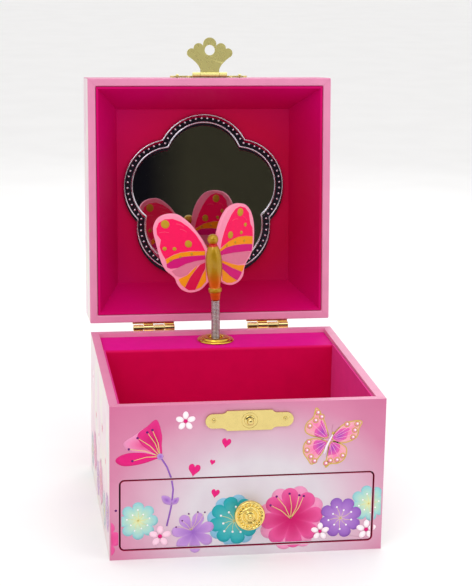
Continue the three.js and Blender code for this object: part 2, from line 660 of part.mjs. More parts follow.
function addFigure() {
  const pivot = new THREE.Group();
  const lean = degrees(FIGURE_LEAN_DEGREES);
  const springShift = (SPRING_LENGTH / 2) * Math.sin(lean);
  pivot.position.set(-springShift, shaftY, collarZ);
  pivot.rotation.y = -lean;
  root.add(pivot);
  const turnedBody = new THREE.Group();
  turnedBody.rotation.z = degrees(FIGURE_YAW_DEGREES);
  pivot.add(turnedBody);
  piece("butterfly_body", turnedUp(bodyProfile, 18), figureGold, turnedBody);
  piece("butterfly_wing_right", wing(1), wingPink, turnedBody);
  piece("butterfly_wing_left", wing(-1), wingPink, turnedBody);

  // The spring stands upright on the spindle and bends a little to the figure's lean.
  const top = new THREE.Vector3(0, 0, -FIGURE_CONE_LENGTH - 0.4).applyEuler(pivot.rotation).add(pivot.position);
  const bend = new THREE.QuadraticBezierCurve3(
    new THREE.Vector3(0, shaftY, springFoot),
    new THREE.Vector3(0, shaftY, (springFoot + top.z) / 2),
    top,
  );
  const section = new THREE.Shape();
  section.absarc(0, 0, SPRING_RADIUS, 0, Math.PI * 2);
  const sweep = { extrudePath: bend, steps: 4, curveSegments: 16, bevelEnabled: false };
  const spring = new THREE.ExtrudeGeometry(section, sweep);
  piece("figure_spring", spring, steel);
}

function addBush() {
  const cup = 3.1;
  const bore = SPINDLE_RADIUS + PIN_CLEARANCE + 0.02;
  const floor = deckTop - 0.4;
  const low = deckUnder - 0.5;
  const profile = [
    [bore, low],
    [4.7, low],
    [4.7, deckTop + GLUE_LINE],
    [BUSH_RADIUS, deckTop + GLUE_LINE],
    [BUSH_RADIUS, deckTop + 0.7],
    [BUSH_RADIUS - 0.7, deckTop + 1],
    [BUSH_RADIUS - 1.6, deckTop + 1],
    [BUSH_RADIUS - 1.9, deckTop + 1.7],
    [cup + 0.5, deckTop + 1.7],
    [cup, deckTop + 1.3],
    [cup, floor],
    [bore, floor],
    [bore, low],
  ];
  piece("spindle_bush", turnedUp(profile, 24).translate(0, shaftY, 0), richGold);
}

// ---- Musical movement ----

// A spur gear with narrow straight-sided teeth, wide enough apart to run freely.
function gearShape(teeth, phase) {
  const pitch = (GEAR_MODULE * teeth) / 2;
  const tip = pitch + 0.75 * GEAR_MODULE;
  const rootRadius = pitch - 1.05 * GEAR_MODULE;
  const points = [];
  for (let i = 0; i < teeth; i += 1) {
    const middle = ((i + phase) * 2 * Math.PI) / teeth;
    const corners = [
      [rootRadius, -0.8 / rootRadius],
      [tip, -0.3 / tip],
      [tip, 0.3 / tip],
      [rootRadius, 0.8 / rootRadius],
    ];
    for (const [radius, away] of corners) {
      points.push([radius * Math.cos(middle + away), radius * Math.sin(middle + away)]);
    }
  }
  return polygon(points);
}

function spurGear(teeth, phase, x, low, high) {
  return plate(gearShape(teeth, phase), high - low).translate(x, shaftY, low);
}

// The cast plate that carries the movement, with a lug for each bearing and a post for the comb.
function addBedplate() {
  const back = bedplateY + BEDPLATE;
  const rooted = bedplateY + 0.4;
  const screwHole = MOVEMENT_SCREW_RADIUS + 0.25;
  const left = combFarX - 1;
  const right = governorX + FAN_RADIUS + 0.5;
  const parts = [box(left, right, bedplateY, back, barrelZ - 9, deckUnder - 2.3)];
  const lug = (x, half, low, high) => parts.push(box(x - half, x + half, shaftY - 2.6, rooted, low, high));
  lug(cylinderX, 2.6, pinionTop + 0.6, pinionTop + 1.7);
  lug(cylinderX, 2.6, gearTop + 0.7, gearTop + 1.9);
  lug(0, 2.6, spindleLugTop - 1.5, spindleLugTop);
  lug(governorX, 2.2, fanLow - 2, fanLow - 0.8);
  lug(governorX, 2.2, gearTop + 0.7, gearTop + 1.9);
  parts.push(box(combFarX, combHeelX + 0.5, combBackY + 0.2, rooted, cylinderBottom - 0.5, cylinderTop + 0.5));
  const holes = [
    rodZ(1 + PIN_CLEARANCE + 0.04, cylinderX, shaftY, pinionTop, gearTop + 4, 16),
    rodZ(SPINDLE_RADIUS + PIN_CLEARANCE + 0.02, 0, shaftY, spindleLugTop - 3, spindleLugTop + 2, 20),
    rodZ(0.8 + PIN_CLEARANCE + 0.03, governorX, shaftY, fanLow - 4, gearTop + 4, 14),
    rodY(KEY_SHAFT_RADIUS + PIN_CLEARANCE + 0.02, cylinderX, barrelZ, bedplateY - 1, back + 1, 24),
    box(stopRodX - 0.9, stopRodX + 2.2, bedplateY - 0.1, back + 1, fanLow + 1, deckUnder),
    ...movementScrewX.map((x) => rodY(screwHole, x, movementScrewZ, bedplateY - 1, back + 1, 12)),
    ...combScrewZ.map((z) => rodY(0.9, combScrewX, z, combBackY - 1, combBackY + 4.5, 12)),
  ];
  piece("movement_bedplate", cut(join(...parts), ...holes), steel);
}

function addComb() {
  const pitch = CYLINDER_LENGTH / COMB_TEETH;
  const slot = 0.35;
  const tips = cylinderX - CYLINDER_RADIUS - 0.5;
  const toothRoot = combHeelX + 1;
  const points = [[combFarX, cylinderBottom], [toothRoot, cylinderBottom]];
  for (let i = 0; i < COMB_TEETH; i += 1) {
    const low = cylinderBottom + i * pitch + slot / 2;
    const high = low + pitch - slot;
    points.push([toothRoot, low], [tips, low], [tips, high], [toothRoot, high]);
  }
  points.push([toothRoot, cylinderTop], [combFarX, cylinderTop]);
  const sheet = frontPlate(polygon(points), COMB_THICKNESS, combBackY);
  const holes = combScrewZ.map((z) => rodY(1.1, combScrewX, z, combBackY - 2, combBackY + 1, 12));
  piece("tone_comb", cut(sheet, ...holes), steel);
  const screw = [[0, -4.4], [0.8, -4.4], [0.8, 0], [1.9, 0], [1.9, 0.9], [1.4, 1.3], [0, 1.3]];
  const headY = combBackY - COMB_THICKNESS - 0.1;
  piece("comb_screw_lower", turnedForward(screw, 14).translate(combScrewX, headY, combScrewZ[0]), steel);
  piece("comb_screw_upper", turnedForward(screw, 14).translate(combScrewX, headY, combScrewZ[1]), steel);
}

function addCylinder() {
  const parts = [
    rodZ(1, cylinderX, shaftY, pinionTop - pinionHeight, gearTop + 2.6, 14),
    rodZ(CYLINDER_RADIUS, cylinderX, shaftY, cylinderBottom, cylinderTop, 32),
    spurGear(CYLINDER_TEETH, 0, cylinderX, gearTop - gearHeight, gearTop),
    rodZ(1.8, cylinderX, shaftY, cylinderTop - 0.5, gearTop - gearHeight + 0.5, 14),
  ];
  const points = [];
  const pinionRoot = pinionPitch - 0.95;
  const pinionTip = pinionPitch + 0.7;
  const leaf = [[pinionRoot, -0.55], [pinionTip, -0.28], [pinionTip, 0.28], [pinionRoot, 0.55]];
  for (let i = 0; i < PINION_TEETH; i += 1) {
    const middle = Math.PI / 2 + (i * 2 * Math.PI) / PINION_TEETH;
    for (const [radius, half] of leaf) {
      const angle = middle + half / radius;
      points.push([radius * Math.cos(angle), radius * Math.sin(angle)]);
    }
  }
  parts.push(plate(polygon(points), pinionHeight).translate(cylinderX, shaftY, pinionTop - pinionHeight));
  piece("music_cylinder", join(...parts), richGold);
}

// The spring barrel: a drum on a flange whose front face carries a ring of crown teeth.
function addBarrel() {
  const flangeRadius = crownRadius + 1.2;
  const flangeBack = bedplateY - 0.7;
  const parts = [
    rodY(8.3, cylinderX, barrelZ, flangeFrontY - 10.5, flangeFrontY + 0.2, 32),
    rodY(flangeRadius, cylinderX, barrelZ, flangeFrontY, flangeBack, 48),
  ];
  for (let i = 0; i < BARREL_TEETH; i += 1) {
    const angle = ((i + 0.5) * 2 * Math.PI) / BARREL_TEETH;
    const [inner, outer] = [crownRadius - 1.2, crownRadius + 0.9];
    const tooth = box(-0.35, 0.35, flangeFrontY - 1.8, flangeFrontY + 0.2, inner, outer);
    parts.push(tooth.rotateY(angle).translate(cylinderX, 0, barrelZ));
  }
  const bore = rodY(KEY_SHAFT_RADIUS + PIN_CLEARANCE + 0.02, cylinderX, barrelZ, flangeFrontY - 12, innerY, 24);
  piece("spring_barrel", cut(join(...parts), bore), richGold);
}

function addKey() {
  const bowStart = backY + 5;
  const bow = new THREE.Shape();
  bow.absarc(5.2, 0, 4, -Math.PI * 0.75, Math.PI * 0.75);
  bow.absarc(-5.2, 0, 4, Math.PI * 0.25, Math.PI * 1.75);
  for (const x of [-5.2, 5.2]) {
    const eye = new THREE.Path();
    eye.absarc(x, 0, 2, 0, Math.PI * 2);
    bow.holes.push(eye);
  }
  const blade = plate(bow, 1.8, 6).translate(0, 0, -0.9).translate(cylinderX, bowStart + 4.5, barrelZ);
  const parts = [
    rodY(KEY_SHAFT_RADIUS, cylinderX, barrelZ, flangeFrontY - 11, bowStart + 2, 20),
    rodY(3, cylinderX, barrelZ, backY + 1.5, bowStart + 1.5, 20),
    blade,
  ];
  piece("winding_key", join(...parts), paleGold);
}

function addSpindle() {
  const parts = [
    rodZ(SPINDLE_RADIUS, 0, shaftY, spindleLugTop - 2, deckTop + 0.2, 20),
    spurGear(SPINDLE_TEETH, 0.5, 0, gearTop - gearHeight, gearTop),
  ];
  piece("figure_spindle", join(...parts), steel);
}

function addGovernor() {
  const fanTop = fanLow + FAN_HEIGHT;
  const parts = [
    rodZ(0.8, governorX, shaftY, fanLow - 2.4, gearTop + 2.4, 12),
    spurGear(GOVERNOR_TEETH, 0, governorX, gearTop - gearHeight, gearTop),
    rodZ(1.5, governorX, shaftY, fanLow, fanTop, 12),
    box(governorX - FAN_RADIUS, governorX + FAN_RADIUS, shaftY - 0.4, shaftY + 0.4, fanLow, fanTop),
  ];
  piece("governor_fan", join(...parts), steel);
}

// A rod that the closing lid presses down; its foot then stands in the way of the fan's blades.
function addStopRod() {
  const low = fanLow + FAN_HEIGHT + 1.6;
  const top = lidRim + TRAY_RIM_RECESS + STOP_ROD_TRAVEL - 0.15;
  const rod = rodZ(STOP_ROD_RADIUS, stopRodX, stopRodY, low, top, 12);
  const footEnd = new THREE.Vector2(governorX - 3.2, shaftY + 3.2);
  const reach = new THREE.Vector2(footEnd.x - stopRodX, footEnd.y - stopRodY);
  const foot = rodX(0.4, 0, 0, 0, reach.length(), 10).rotateZ(reach.angle());
  foot.translate(stopRodX, stopRodY, low + 0.4);
  piece("stop_rod", join(rod, foot), steel);
}

function addMovementScrews() {
  const tip = -(WALL + BEDPLATE + 0.2);
  const shank = MOVEMENT_SCREW_RADIUS;
  const screw = [[0, tip], [shank, tip], [shank, 0], [2.6, 0], [2.3, 0.9], [0, 1.4]];
  ["movement_screw_left", "movement_screw_right"].forEach((name, i) => {
    const geometry = turned(screw, 16).translate(movementScrewX[i], backY + GLUE_LINE / 2, movementScrewZ);
    piece(name, geometry, steel);
  });
}

// ---- The whole box ----

addCaseBoards();
addLinings();
addLatch();
addBush();
addDrawer();
addFigure();
addBedplate();
addComb();
addCylinder();
addBarrel();
addKey();
addSpindle();
addGovernor();
addStopRod();
addMovementScrews();

const lid = openedLid();
addLid(lid);
addHaspPlate(lid);
addHaspTail(lid);
for (const [side, x] of [["left", -HINGE_SPREAD], ["right", HINGE_SPREAD]]) {
  piece(`hinge_case_leaf_${side}`, hingeLeaf(x, -1, 0), richGold);
  const pin = rodX(HINGE_PIN_RADIUS, hingeY, hingeZ, x - HINGE_LENGTH / 2, x + HINGE_LENGTH / 2, 12);
  piece(`hinge_pin_${side}`, pin, richGold);
  piece(`hinge_lid_leaf_${side}`, hingeLeaf(x, 1, 1), richGold, lid);
}

export default root;
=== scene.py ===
import json
import random
from math import atan2, cos, hypot, pi, radians, sin, sqrt

import bmesh
import bpy
from mathutils import Matrix, Vector


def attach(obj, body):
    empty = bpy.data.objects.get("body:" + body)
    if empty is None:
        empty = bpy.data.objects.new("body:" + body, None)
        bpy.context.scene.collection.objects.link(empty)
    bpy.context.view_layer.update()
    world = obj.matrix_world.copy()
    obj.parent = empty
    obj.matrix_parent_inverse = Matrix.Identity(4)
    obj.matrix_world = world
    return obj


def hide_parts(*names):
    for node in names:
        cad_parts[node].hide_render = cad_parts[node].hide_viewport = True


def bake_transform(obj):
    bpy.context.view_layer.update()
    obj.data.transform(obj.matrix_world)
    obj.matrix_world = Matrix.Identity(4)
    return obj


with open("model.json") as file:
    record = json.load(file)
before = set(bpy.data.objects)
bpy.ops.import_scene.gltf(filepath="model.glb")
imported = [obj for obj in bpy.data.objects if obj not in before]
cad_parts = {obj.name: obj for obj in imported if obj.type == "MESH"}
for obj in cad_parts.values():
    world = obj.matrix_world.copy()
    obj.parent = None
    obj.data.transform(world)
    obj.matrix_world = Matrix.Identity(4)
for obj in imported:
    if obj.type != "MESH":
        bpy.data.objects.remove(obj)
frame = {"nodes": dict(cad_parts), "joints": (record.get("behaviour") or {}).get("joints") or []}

# Lengths are in millimetres until a mesh is made; MM turns them into metres.
MM = 0.001
STILL = Matrix.Identity(4)
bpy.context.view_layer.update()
nodes = frame["nodes"]
joints = {joint["name"]: joint for joint in frame["joints"]}


# ---- Places taken from the frame ----

def joint_place(name):
    return Vector(joints[name]["pos_m"]) / MM


def placed(point, *turns):
    """Moves the origin to a point, after turns given as (angle, axis)."""
    made = Matrix.Translation(point)
    for angle, axis in turns:
        made = made @ Matrix.Rotation(angle, 4, axis)
    return made


def span(node, undo=STILL):
    """Lowest and highest corner of a CAD node in mm, after undoing a turn such as the lid's opening."""
    points = [undo @ (vertex.co / MM) for vertex in nodes[node].data.vertices]
    low = Vector(min(point[i] for point in points) for i in range(3))
    high = Vector(max(point[i] for point in points) for i in range(3))
    return low, high


def middle_of(node):
    low, high = span(node)
    return (low + high) / 2


lid_pivot = joint_place("lid_hinge")
lid_open = radians(joints["lid_hinge"]["range_deg"][1])
OPEN_LID = placed(lid_pivot, (-lid_open, "X")) @ Matrix.Translation(-lid_pivot)
SHUT = OPEN_LID.inverted()
figure_axis = Vector(joints["figure_spin"]["axis"])
FIGURE_YAW = radians(9.2)
WING_SWEEP = radians(28)
FIGURE = placed(joint_place("figure_spin"), (atan2(figure_axis.x, figure_axis.z), "Y"), (FIGURE_YAW, "Z"))
front_low, front_high = span("front_panel")
wall = front_high.y - front_low.y
half_x = front_high.x + 0.2
half_y = -front_low.y
rim_z = front_high.z
drawer_low, drawer_high = span("drawer_front")
lid_rim = span("lid_front_rail", SHUT)[0].z
lid_board, lid_top = (corner.z for corner in span("lid_top_panel", SHUT))
deck_low, deck_high = span("movement_deck")
shaft_y = joint_place("spindle_spin").y
key_centre = joint_place("key_turn")
knob_z = (drawer_low.z + drawer_high.z) / 2


# ---- Materials ----

def srgb(red, green, blue):
    """A colour given as 0 to 255 display values, in linear light."""
    values = [value / 255 for value in (red, green, blue)]
    return tuple(v / 12.92 if v <= 0.04045 else ((v + 0.055) / 1.055) ** 2.4 for v in values) + (1.0,)


class Shader:
    """A Principled material with short calls for the nodes that feed it."""

    def __init__(self, name, roughness, metallic=0.0, coat=0.0, coat_roughness=0.1, specular=0.5):
        self.material = bpy.data.materials.new(name)
        self.material.use_nodes = True
        self.tree = self.material.node_tree
        self.surface = self.tree.nodes["Principled BSDF"]
        self.feed(self.surface, {
            "Roughness": roughness, "Metallic": metallic, "Coat Weight": coat,
            "Coat Roughness": coat_roughness, "Specular IOR Level": specular,
        })
        self.place = self.node("TexCoord").outputs["Object"]

    def feed(self, node, sockets):
        """Links a socket to the output given for it, or sets the plain value given."""
        for socket, value in sockets.items():
            if isinstance(value, bpy.types.NodeSocket):
                self.tree.links.new(value, node.inputs[socket])
            else:
                node.inputs[socket].default_value = value

    def node(self, kind, sockets=None):
        made = self.tree.nodes.new("ShaderNode" + kind)
        self.feed(made, sockets or {})
        return made

    def mapped(self, scale, location=(0, 0, 0)):
        sockets = {"Vector": self.place, "Scale": scale, "Location": location}
        return self.node("Mapping", sockets).outputs["Vector"]

    def noise(self, scale, detail=3.0, stretch=(1, 1, 1)):
        """Noise with about one feature per scale mm."""
        sockets = {"Scale": 1 / (scale * MM), "Detail": detail, "Vector": self.mapped(stretch)}
        return self.node("TexNoise", sockets).outputs["Fac"]

    def ramp(self, factor, stops):
        node = self.node("ValToRGB", {"Fac": factor})
        elements = node.color_ramp.elements
        while len(elements) < len(stops):
            elements.new(0.5)
        for element, (position, colour) in zip(elements, stops):
            element.position = position
            element.color = colour
        return node.outputs["Color"]

    def mix(self, factor, first, second, blend="MIX"):
        node = self.node("Mix")
        node.data_type = "RGBA"
        node.blend_type = blend
        self.feed(node, {0: factor, 6: first, 7: second})
        return node.outputs[2]

    def clouded(self, base, scale, detail, stop, shade):
        """The base colour under faint clouds of about scale mm."""
        cloud = self.ramp(self.noise(scale, detail), [(0.35, (1, 1, 1, 1)), (stop, shade)])
        return self.mix(1.0, base, cloud, "MULTIPLY")

    def glow(self, centre, radius, stops):
        """A round gradient about a point in mm, stretched to a radius along each axis."""
        scale = [1 / (r * MM) for r in radius]
        shift = [-c * MM * s for c, s in zip(centre, scale)]
        node = self.node("TexGradient", {"Vector": self.mapped(scale, shift)})
        node.gradient_type = "SPHERICAL"
        return self.ramp(node.outputs["Fac"], stops)

    def finish(self, colour, rough=None, grain=None, stretch=(1, 1, 1)):
        """Feeds the colour, a roughness (scale, low, high) and a grain (scale, detail, depth, strength)."""
        self.feed(self.surface, {"Base Color": colour})
        if rough:
            scale, low, high = rough
            spread = {"Value": self.noise(scale, 3.0, stretch), "To Min": low, "To Max": high}
            self.feed(self.surface, {"Roughness": self.node("MapRange", spread).outputs["Result"]})
        if grain:
            scale, detail, depth, strength = grain
            height = self.noise(scale, detail, stretch)
            bump = {"Height": height, "Distance": depth * MM, "Strength": strength}
            self.feed(self.surface, {"Normal": self.node("Bump", bump).outputs["Normal"]})
        return self.material


def darker(colour, amount):
    return tuple(value * (1 - amount) for value in colour[:3]) + (1.0,)


PINK = srgb(202, 100, 144)
ROSE = srgb(208, 128, 162)
PALE = srgb(213, 176, 194)
LILAC = srgb(214, 206, 213)
FAR = 5000


def printed_paper(name, centre, radius):
    """Coated art paper: a gradient from pink at the edges to pale lilac about a centre point, faint
    cloudiness, paper grain and a satin varnish.
    """
    shader = Shader(name, 0.36, coat=0.1, coat_roughness=0.22, specular=0.3)
    base = shader.glow(centre, radius, [(0.0, PINK), (0.3, ROSE), (0.52, PALE), (0.7, LILAC)])
    tint = shader.clouded(base, 14, 2, 0.75, (0.94, 0.9, 0.93, 1))
    return shader.finish(tint, (5, 0.3, 0.44), (0.35, 4, 0.012, 0.35))


def pale_paper(name):
    """The side boards' paper: almost white, with faint pink, yellow and blue clouds."""
    shader = Shader(name, 0.38, coat=0.2, coat_roughness=0.22)
    tint = shader.ramp(shader.noise(26, 2), [
        (0.3, srgb(226, 190, 204)), (0.48, srgb(230, 208, 214)),
        (0.6, srgb(229, 219, 208)), (0.72, srgb(212, 216, 220)),
    ])
    return shader.finish(tint, (5, 0.32, 0.46), (0.35, 4, 0.012, 0.35))


def plain_paper(name, base, roughness=0.42, drift=0.12, coat=0.15):
    shader = Shader(name, roughness, coat=coat, coat_roughness=0.25)
    tint = shader.ramp(shader.noise(9), [(0.3, base), (0.75, darker(base, drift))])
    return shader.finish(tint, (3, roughness - 0.06, roughness + 0.08), (0.3, 4, 0.012, 0.3))


def lining_paper(name, first, last, axis, start, end, roughness=0.55):
    """Smooth lining paper whose colour drifts from a first to a last tone along an axis."""
    shader = Shader(name, roughness, specular=0.07)
    split = shader.node("SeparateXYZ", {"Vector": shader.place})
    sockets = {"From Min": start * MM, "From Max": end * MM, "Value": split.outputs[axis]}
    drift = shader.mix(shader.node("MapRange", sockets).outputs["Result"], first, last)
    tint = shader.clouded(drift, 7, 2, 0.8, (0.93, 0.9, 0.93, 1))
    return shader.finish(tint, (2.5, roughness - 0.05, roughness + 0.07), (0.25, 4, 0.008, 0.3))


def lid_lining_paper(name):
    """The lid's lining: crimson in the middle, more magenta on the walls; that magenta is painted sheen on
    the crimson paper.
    """
    shader = Shader(name, 0.55, specular=0.07)
    stops = [(0.0, srgb(200, 0, 100)), (0.16, srgb(192, 0, 82)), (0.42, srgb(182, 0, 58))]
    tint = shader.glow((8, 88, 118), (66, 76, 62), stops)
    return shader.finish(tint, (2.5, 0.5, 0.62), (0.25, 4, 0.008, 0.3))


def flock(name, base):
    """Short velvet pile."""
    shader = Shader(name, 0.9, specular=0.15)
    sheen = {"Sheen Weight": 0.5, "Sheen Roughness": 0.5, "Sheen Tint": srgb(255, 120, 190)}
    shader.feed(shader.surface, sheen)
    tint = shader.ramp(shader.noise(0.4, 5), [(0.3, darker(base, 0.3)), (0.7, base)])
    return shader.finish(tint, grain=(0.2, 5, 0.06, 0.7))


def metal(name, base, roughness, drift, grain=0.08, wear=0.06, brushed=(1, 1, 1), metallic=1.0):
    shader = Shader(name, roughness, metallic)
    tint = shader.ramp(shader.noise(4), [(0.3, base), (0.8, darker(base, drift))])
    return shader.finish(tint, (2, roughness - wear, roughness + wear), (1.2, 2, 0.006, grain), brushed)


def painted(name, roughness, coat, specular, drift=0.06, metallic=0.0):
    """Paint whose colours are laid on the mesh, under a varnish."""
    shader = Shader(name, roughness, metallic, coat, 0.08, specular)
    laid = shader.node("Attribute")
    laid.attribute_name = "Paint"
    tint = shader.clouded(laid.outputs["Color"], 2, 3, 0.8, darker((1, 1, 1, 1), drift))
    return shader.finish(tint, (1.2, roughness - 0.05, roughness + 0.07), (0.6, 3, 0.01, 0.2))


MATERIALS = {}
for made_by, rows in {
    printed_paper: {
        "front_paper": ((4, -55, 20), (86, FAR, 64)),
        "lid_paper": ((0, 110, 120), (70, FAR, 75)),
    },
    pale_paper: {"side_paper": (), "lid_side_paper": ()},
    plain_paper: {
        "edge_paper": (srgb(226, 138, 176), 0.42, 0.08),
        "inside_pink": (srgb(232, 140, 182), 0.5),
        "slot_paper": (srgb(206, 12, 92), 0.6, 0.12, 0.0),
    },
    lining_paper: {
        "riser": (srgb(210, 0, 84), srgb(212, 0, 80), "Z", 36, 60),
        # The deck's sheet is crimson on the riser's face and turns magenta over its front bend; the magenta
        # top is painted sheen on the one crimson lining.
        "deck": (srgb(212, 0, 80), srgb(224, 14, 142), "Y", 29.1, 31.0),
        # The side walls' magenta is painted sheen on the crimson lining, as on the deck.
        "side_lining": (srgb(232, 60, 150), srgb(226, 58, 146), "Z", 36, 62),
        "studio_dark": (srgb(10, 9, 16), srgb(50, 48, 36), "X", 62, 104, 0.9),
    },
    lid_lining_paper: {"lid_lining": ()},
    flock: {"flock": (srgb(200, 10, 90),)},
    metal: {
        "pale_gold": (srgb(230, 208, 134), 0.22, 0.08),
        "hinge_gold": (srgb(250, 226, 158), 0.15, 0.15),
        "olive_brass": (srgb(236, 226, 146), 0.28, 0.1, 0.08, 0.06, (1, 1, 1), 0.6),
        "rich_gold": (srgb(230, 192, 76), 0.16, 0.12),
        "knob_gold": (srgb(248, 222, 132), 0.13, 0.1, 0.04, 0.04),
        "cast_zinc": (srgb(158, 158, 162), 0.45, 0.25, 0.5),
        "steel": (srgb(190, 190, 196), 0.28, 0.2, 0.08, 0.06, (1, 1, 6)),
        "spring_steel": (srgb(206, 198, 198), 0.24, 0.25),
        "gunmetal_foil": (srgb(58, 54, 66), 0.3, 0.3),
        "silver_foil": (srgb(226, 226, 236), 0.14, 0.1),
        "mirror_glass": (srgb(226, 228, 226), 0.03, 0.02, 0.0, 0.015),
        "movement_brass": (srgb(226, 190, 104), 0.26, 0.2, 0.08, 0.06, (1, 6, 1)),
    },
    painted: {
        "print": (0.42, 0.04, 0.18),
        "enamel": (0.36, 0.06, 0.16),
        "gold_paint": (0.3, 0.3, 0.3, 0.14, 0.35),
    },
}.items():
    for material_name, settings in rows.items():
        MATERIALS[material_name] = made_by(material_name, *settings)


# ---- Mesh helpers ----

def add_object(name, data):
    obj = bpy.data.objects.new(name, data)
    bpy.context.scene.collection.objects.link(obj)
    return obj


def outward(obj):
    """Turns all faces outwards."""
    mesh = bmesh.new()
    mesh.from_mesh(obj.data)
    bmesh.ops.recalc_face_normals(mesh, faces=mesh.faces)
    mesh.to_mesh(obj.data)
    mesh.free()
    return obj


def shape(name, part, material, matrix=STILL, smooth=True):
    """A mesh object from vertices in mm and faces."""
    vertices, faces = part
    mesh = bpy.data.meshes.new(name)
    mesh.from_pydata([(matrix @ Vector(v)) * MM for v in vertices], [], faces)
    mesh.materials.append(MATERIALS[material])
    mesh.polygons.foreach_set("use_smooth", [smooth] * len(mesh.polygons))
    mesh.update()
    return add_object(name, mesh)


def solid(name, parts, material, matrix=STILL):
    """One object from several closed parts, with its faces turned outwards."""
    vertices, faces = [], []
    for part_vertices, part_faces in parts:
        start = len(vertices)
        vertices.extend(part_vertices)
        faces.extend(tuple(start + i for i in face) for face in part_faces)
    return outward(shape(name, (vertices, faces), material, matrix))


def move(obj, matrix):
    """Moves the mesh by a matrix given in mm."""
    obj.data.transform(Matrix.Scale(MM, 4) @ matrix @ Matrix.Scale(1 / MM, 4))
    return obj


def settle(obj):
    """Applies the object's modifiers to its mesh."""
    graph = bpy.context.evaluated_depsgraph_get()
    made = bpy.data.meshes.new_from_object(obj.evaluated_get(graph))
    obj.modifiers.clear()
    obj.data = made
    return obj


def soften(obj, width, segments=3, angle=35):
    """Rounds the sharp edges and shades the result smoothly."""
    bevel = obj.modifiers.new("Edges", "BEVEL")
    bevel.width = width * MM
    bevel.segments = segments
    bevel.limit_method = "ANGLE"
    bevel.angle_limit = radians(angle)
    bevel.harden_normals = True
    return obj


def shade(obj):
    """Keeps flat faces flat beside their rounded edges, and true corners sharp."""
    obj.data.set_sharp_from_angle(angle=radians(40))
    weighted = obj.modifiers.new("Normals", "WEIGHTED_NORMAL")
    weighted.keep_sharp = True
    weighted.weight = 80
    return settle(obj)


def paint_faces(obj, choose):
    """Gives every face the material that choose names for its centre and normal, both in mm."""
    chosen = [choose(face.center / MM, face.normal) for face in obj.data.polygons]
    used = list(dict.fromkeys(chosen))
    obj.data.materials.clear()
    for material in used:
        obj.data.materials.append(MATERIALS[material])
    obj.data.polygons.foreach_set("material_index", [used.index(material) for material in chosen])


def ring_faces(rows, columns, closed=False):
    """Quads between rows of points, each row a closed ring of columns points."""
    faces = []
    for i in range(rows if closed else rows - 1):
        here, above = i * columns, (i + 1) % rows * columns
        for k in range(columns):
            following = (k + 1) % columns
            faces.append((here + k, here + following, above + following, above + k))
    return faces


def capped(points, rows, columns):
    """A part from rings of points, closed by a flat face at each end."""
    ends = [tuple(reversed(range(columns))), tuple(range((rows - 1) * columns, rows * columns))]
    return points, ring_faces(rows, columns) + ends


def circle(radius, count, u=0.0, v=0.0):
    angles = [2 * pi * k / count for k in range(count)]
    return [(u + radius * cos(angle), v + radius * sin(angle)) for angle in angles]


def turned(name, profile, material, matrix=STILL, sides=64):
    """A turned piece from (radius, height) pairs whose first and last points lie on the axis."""
    vertices = [(0, 0, profile[0][1])]
    for radius, height in profile[1:-1]:
        vertices.extend((x, y, height) for x, y in circle(radius, sides))
    vertices.append((0, 0, profile[-1][1]))
    faces = [tuple(i + 1 for i in face) for face in ring_faces(len(profile) - 2, sides)]
    last = len(vertices) - 1
    for k in range(sides):
        following = (k + 1) % sides
        faces.append((0, 1 + following, 1 + k))
        faces.append((last, last - sides + k, last - sides + following))
    return shape(name, (vertices, faces), material, matrix)


def bent(points, steps=8):
    """A quadratic curve from the first point to the third, pulled towards the second."""
    a, b, c = (Vector(point) for point in points)
    shares = [i / steps for i in range(steps + 1)]
    return [tuple(a * (1 - t) ** 2 + b * 2 * t * (1 - t) + c * t * t) for t in shares]


def rounded(profile, radius=0.25):
    """The same profile with its inner corners rounded by short arcs."""
    made = [profile[0]]
    for before, corner, after in zip(profile, profile[1:], profile[2:]):
        corner = Vector(corner)
        ends = []
        for other in (before, after):
            along = Vector(other) - corner
            ends.append(corner + along.normalized() * min(radius, along.length * 0.45))
        made += bent((ends[0], corner, ends[1]), 3)
    made.append(profile[-1])
    return made


def tube(points, radius, sides=8, closed=False):
    """A part that follows the points; an open one has capped ends."""
    count = len(points)
    points = [Vector(p) for p in points]
    vertices = []
    side = None
    for i, point in enumerate(points):
        ahead = points[(i + 1) % count] if closed or i + 1 < count else point
        behind = points[i - 1] if closed or i else point
        along = (ahead - behind).normalized()
        side = side or along.orthogonal()
        side = (side - along * side.dot(along)).normalized()
        across = along.cross(side)
        vertices.extend(point + side * u + across * v for u, v in circle(radius, sides))
    return (vertices, ring_faces(count, sides, True)) if closed else capped(vertices, count, sides)


def box_part(low, high):
    xs, ys, zs = zip(low, high)
    vertices = [(x, y, z) for z in zs for y in ys for x in xs]
    faces = [(0, 2, 3, 1), (4, 5, 7, 6), (0, 1, 5, 4), (2, 6, 7, 3), (0, 4, 6, 2), (1, 3, 7, 5)]
    return vertices, faces


def prism_part(outline, low, high, lay):
    """A closed plate from an outline of (u, v) points; lay(u, v, w) gives each point's place."""
    return capped([lay(u, v, w) for w in (low, high) for u, v in outline], 2, len(outline))


def facing_front(u, v, w):
    """u to the right and v up on a plane at y = w."""
    return (u, w, v)


def dome_part(levels, count, u, v, lay):
    """A low dome of (radius, height) rings about (u, v)."""
    points = [lay(*point, height) for radius, height in levels for point in circle(radius, count, u, v)]
    return capped(points, len(levels), count)


def carve(obj, *parts, matrix=STILL):
    """Cuts each part out of obj."""
    for part in parts:
        cutter = solid("cutter", [part], "edge_paper", matrix)
        cut = obj.modifiers.new("Cut", "BOOLEAN")
        cut.operation = "DIFFERENCE"
        cut.solver = "EXACT"
        cut.object = cutter
        settle(obj)
        bpy.data.objects.remove(cutter)
    return obj


def round_rectangle(half_u, half_v, radius, centre_v, steps=6):
    points = []
    for quarter, (su, sv) in enumerate(((1, 1), (-1, 1), (-1, -1), (1, -1))):
        for i in range(steps + 1):
            angle = pi / 2 * (quarter + i / steps)
            u = su * (half_u - radius) + radius * cos(angle)
            v = centre_v + sv * (half_v - radius) + radius * sin(angle)
            points.append((u, v))
    return points


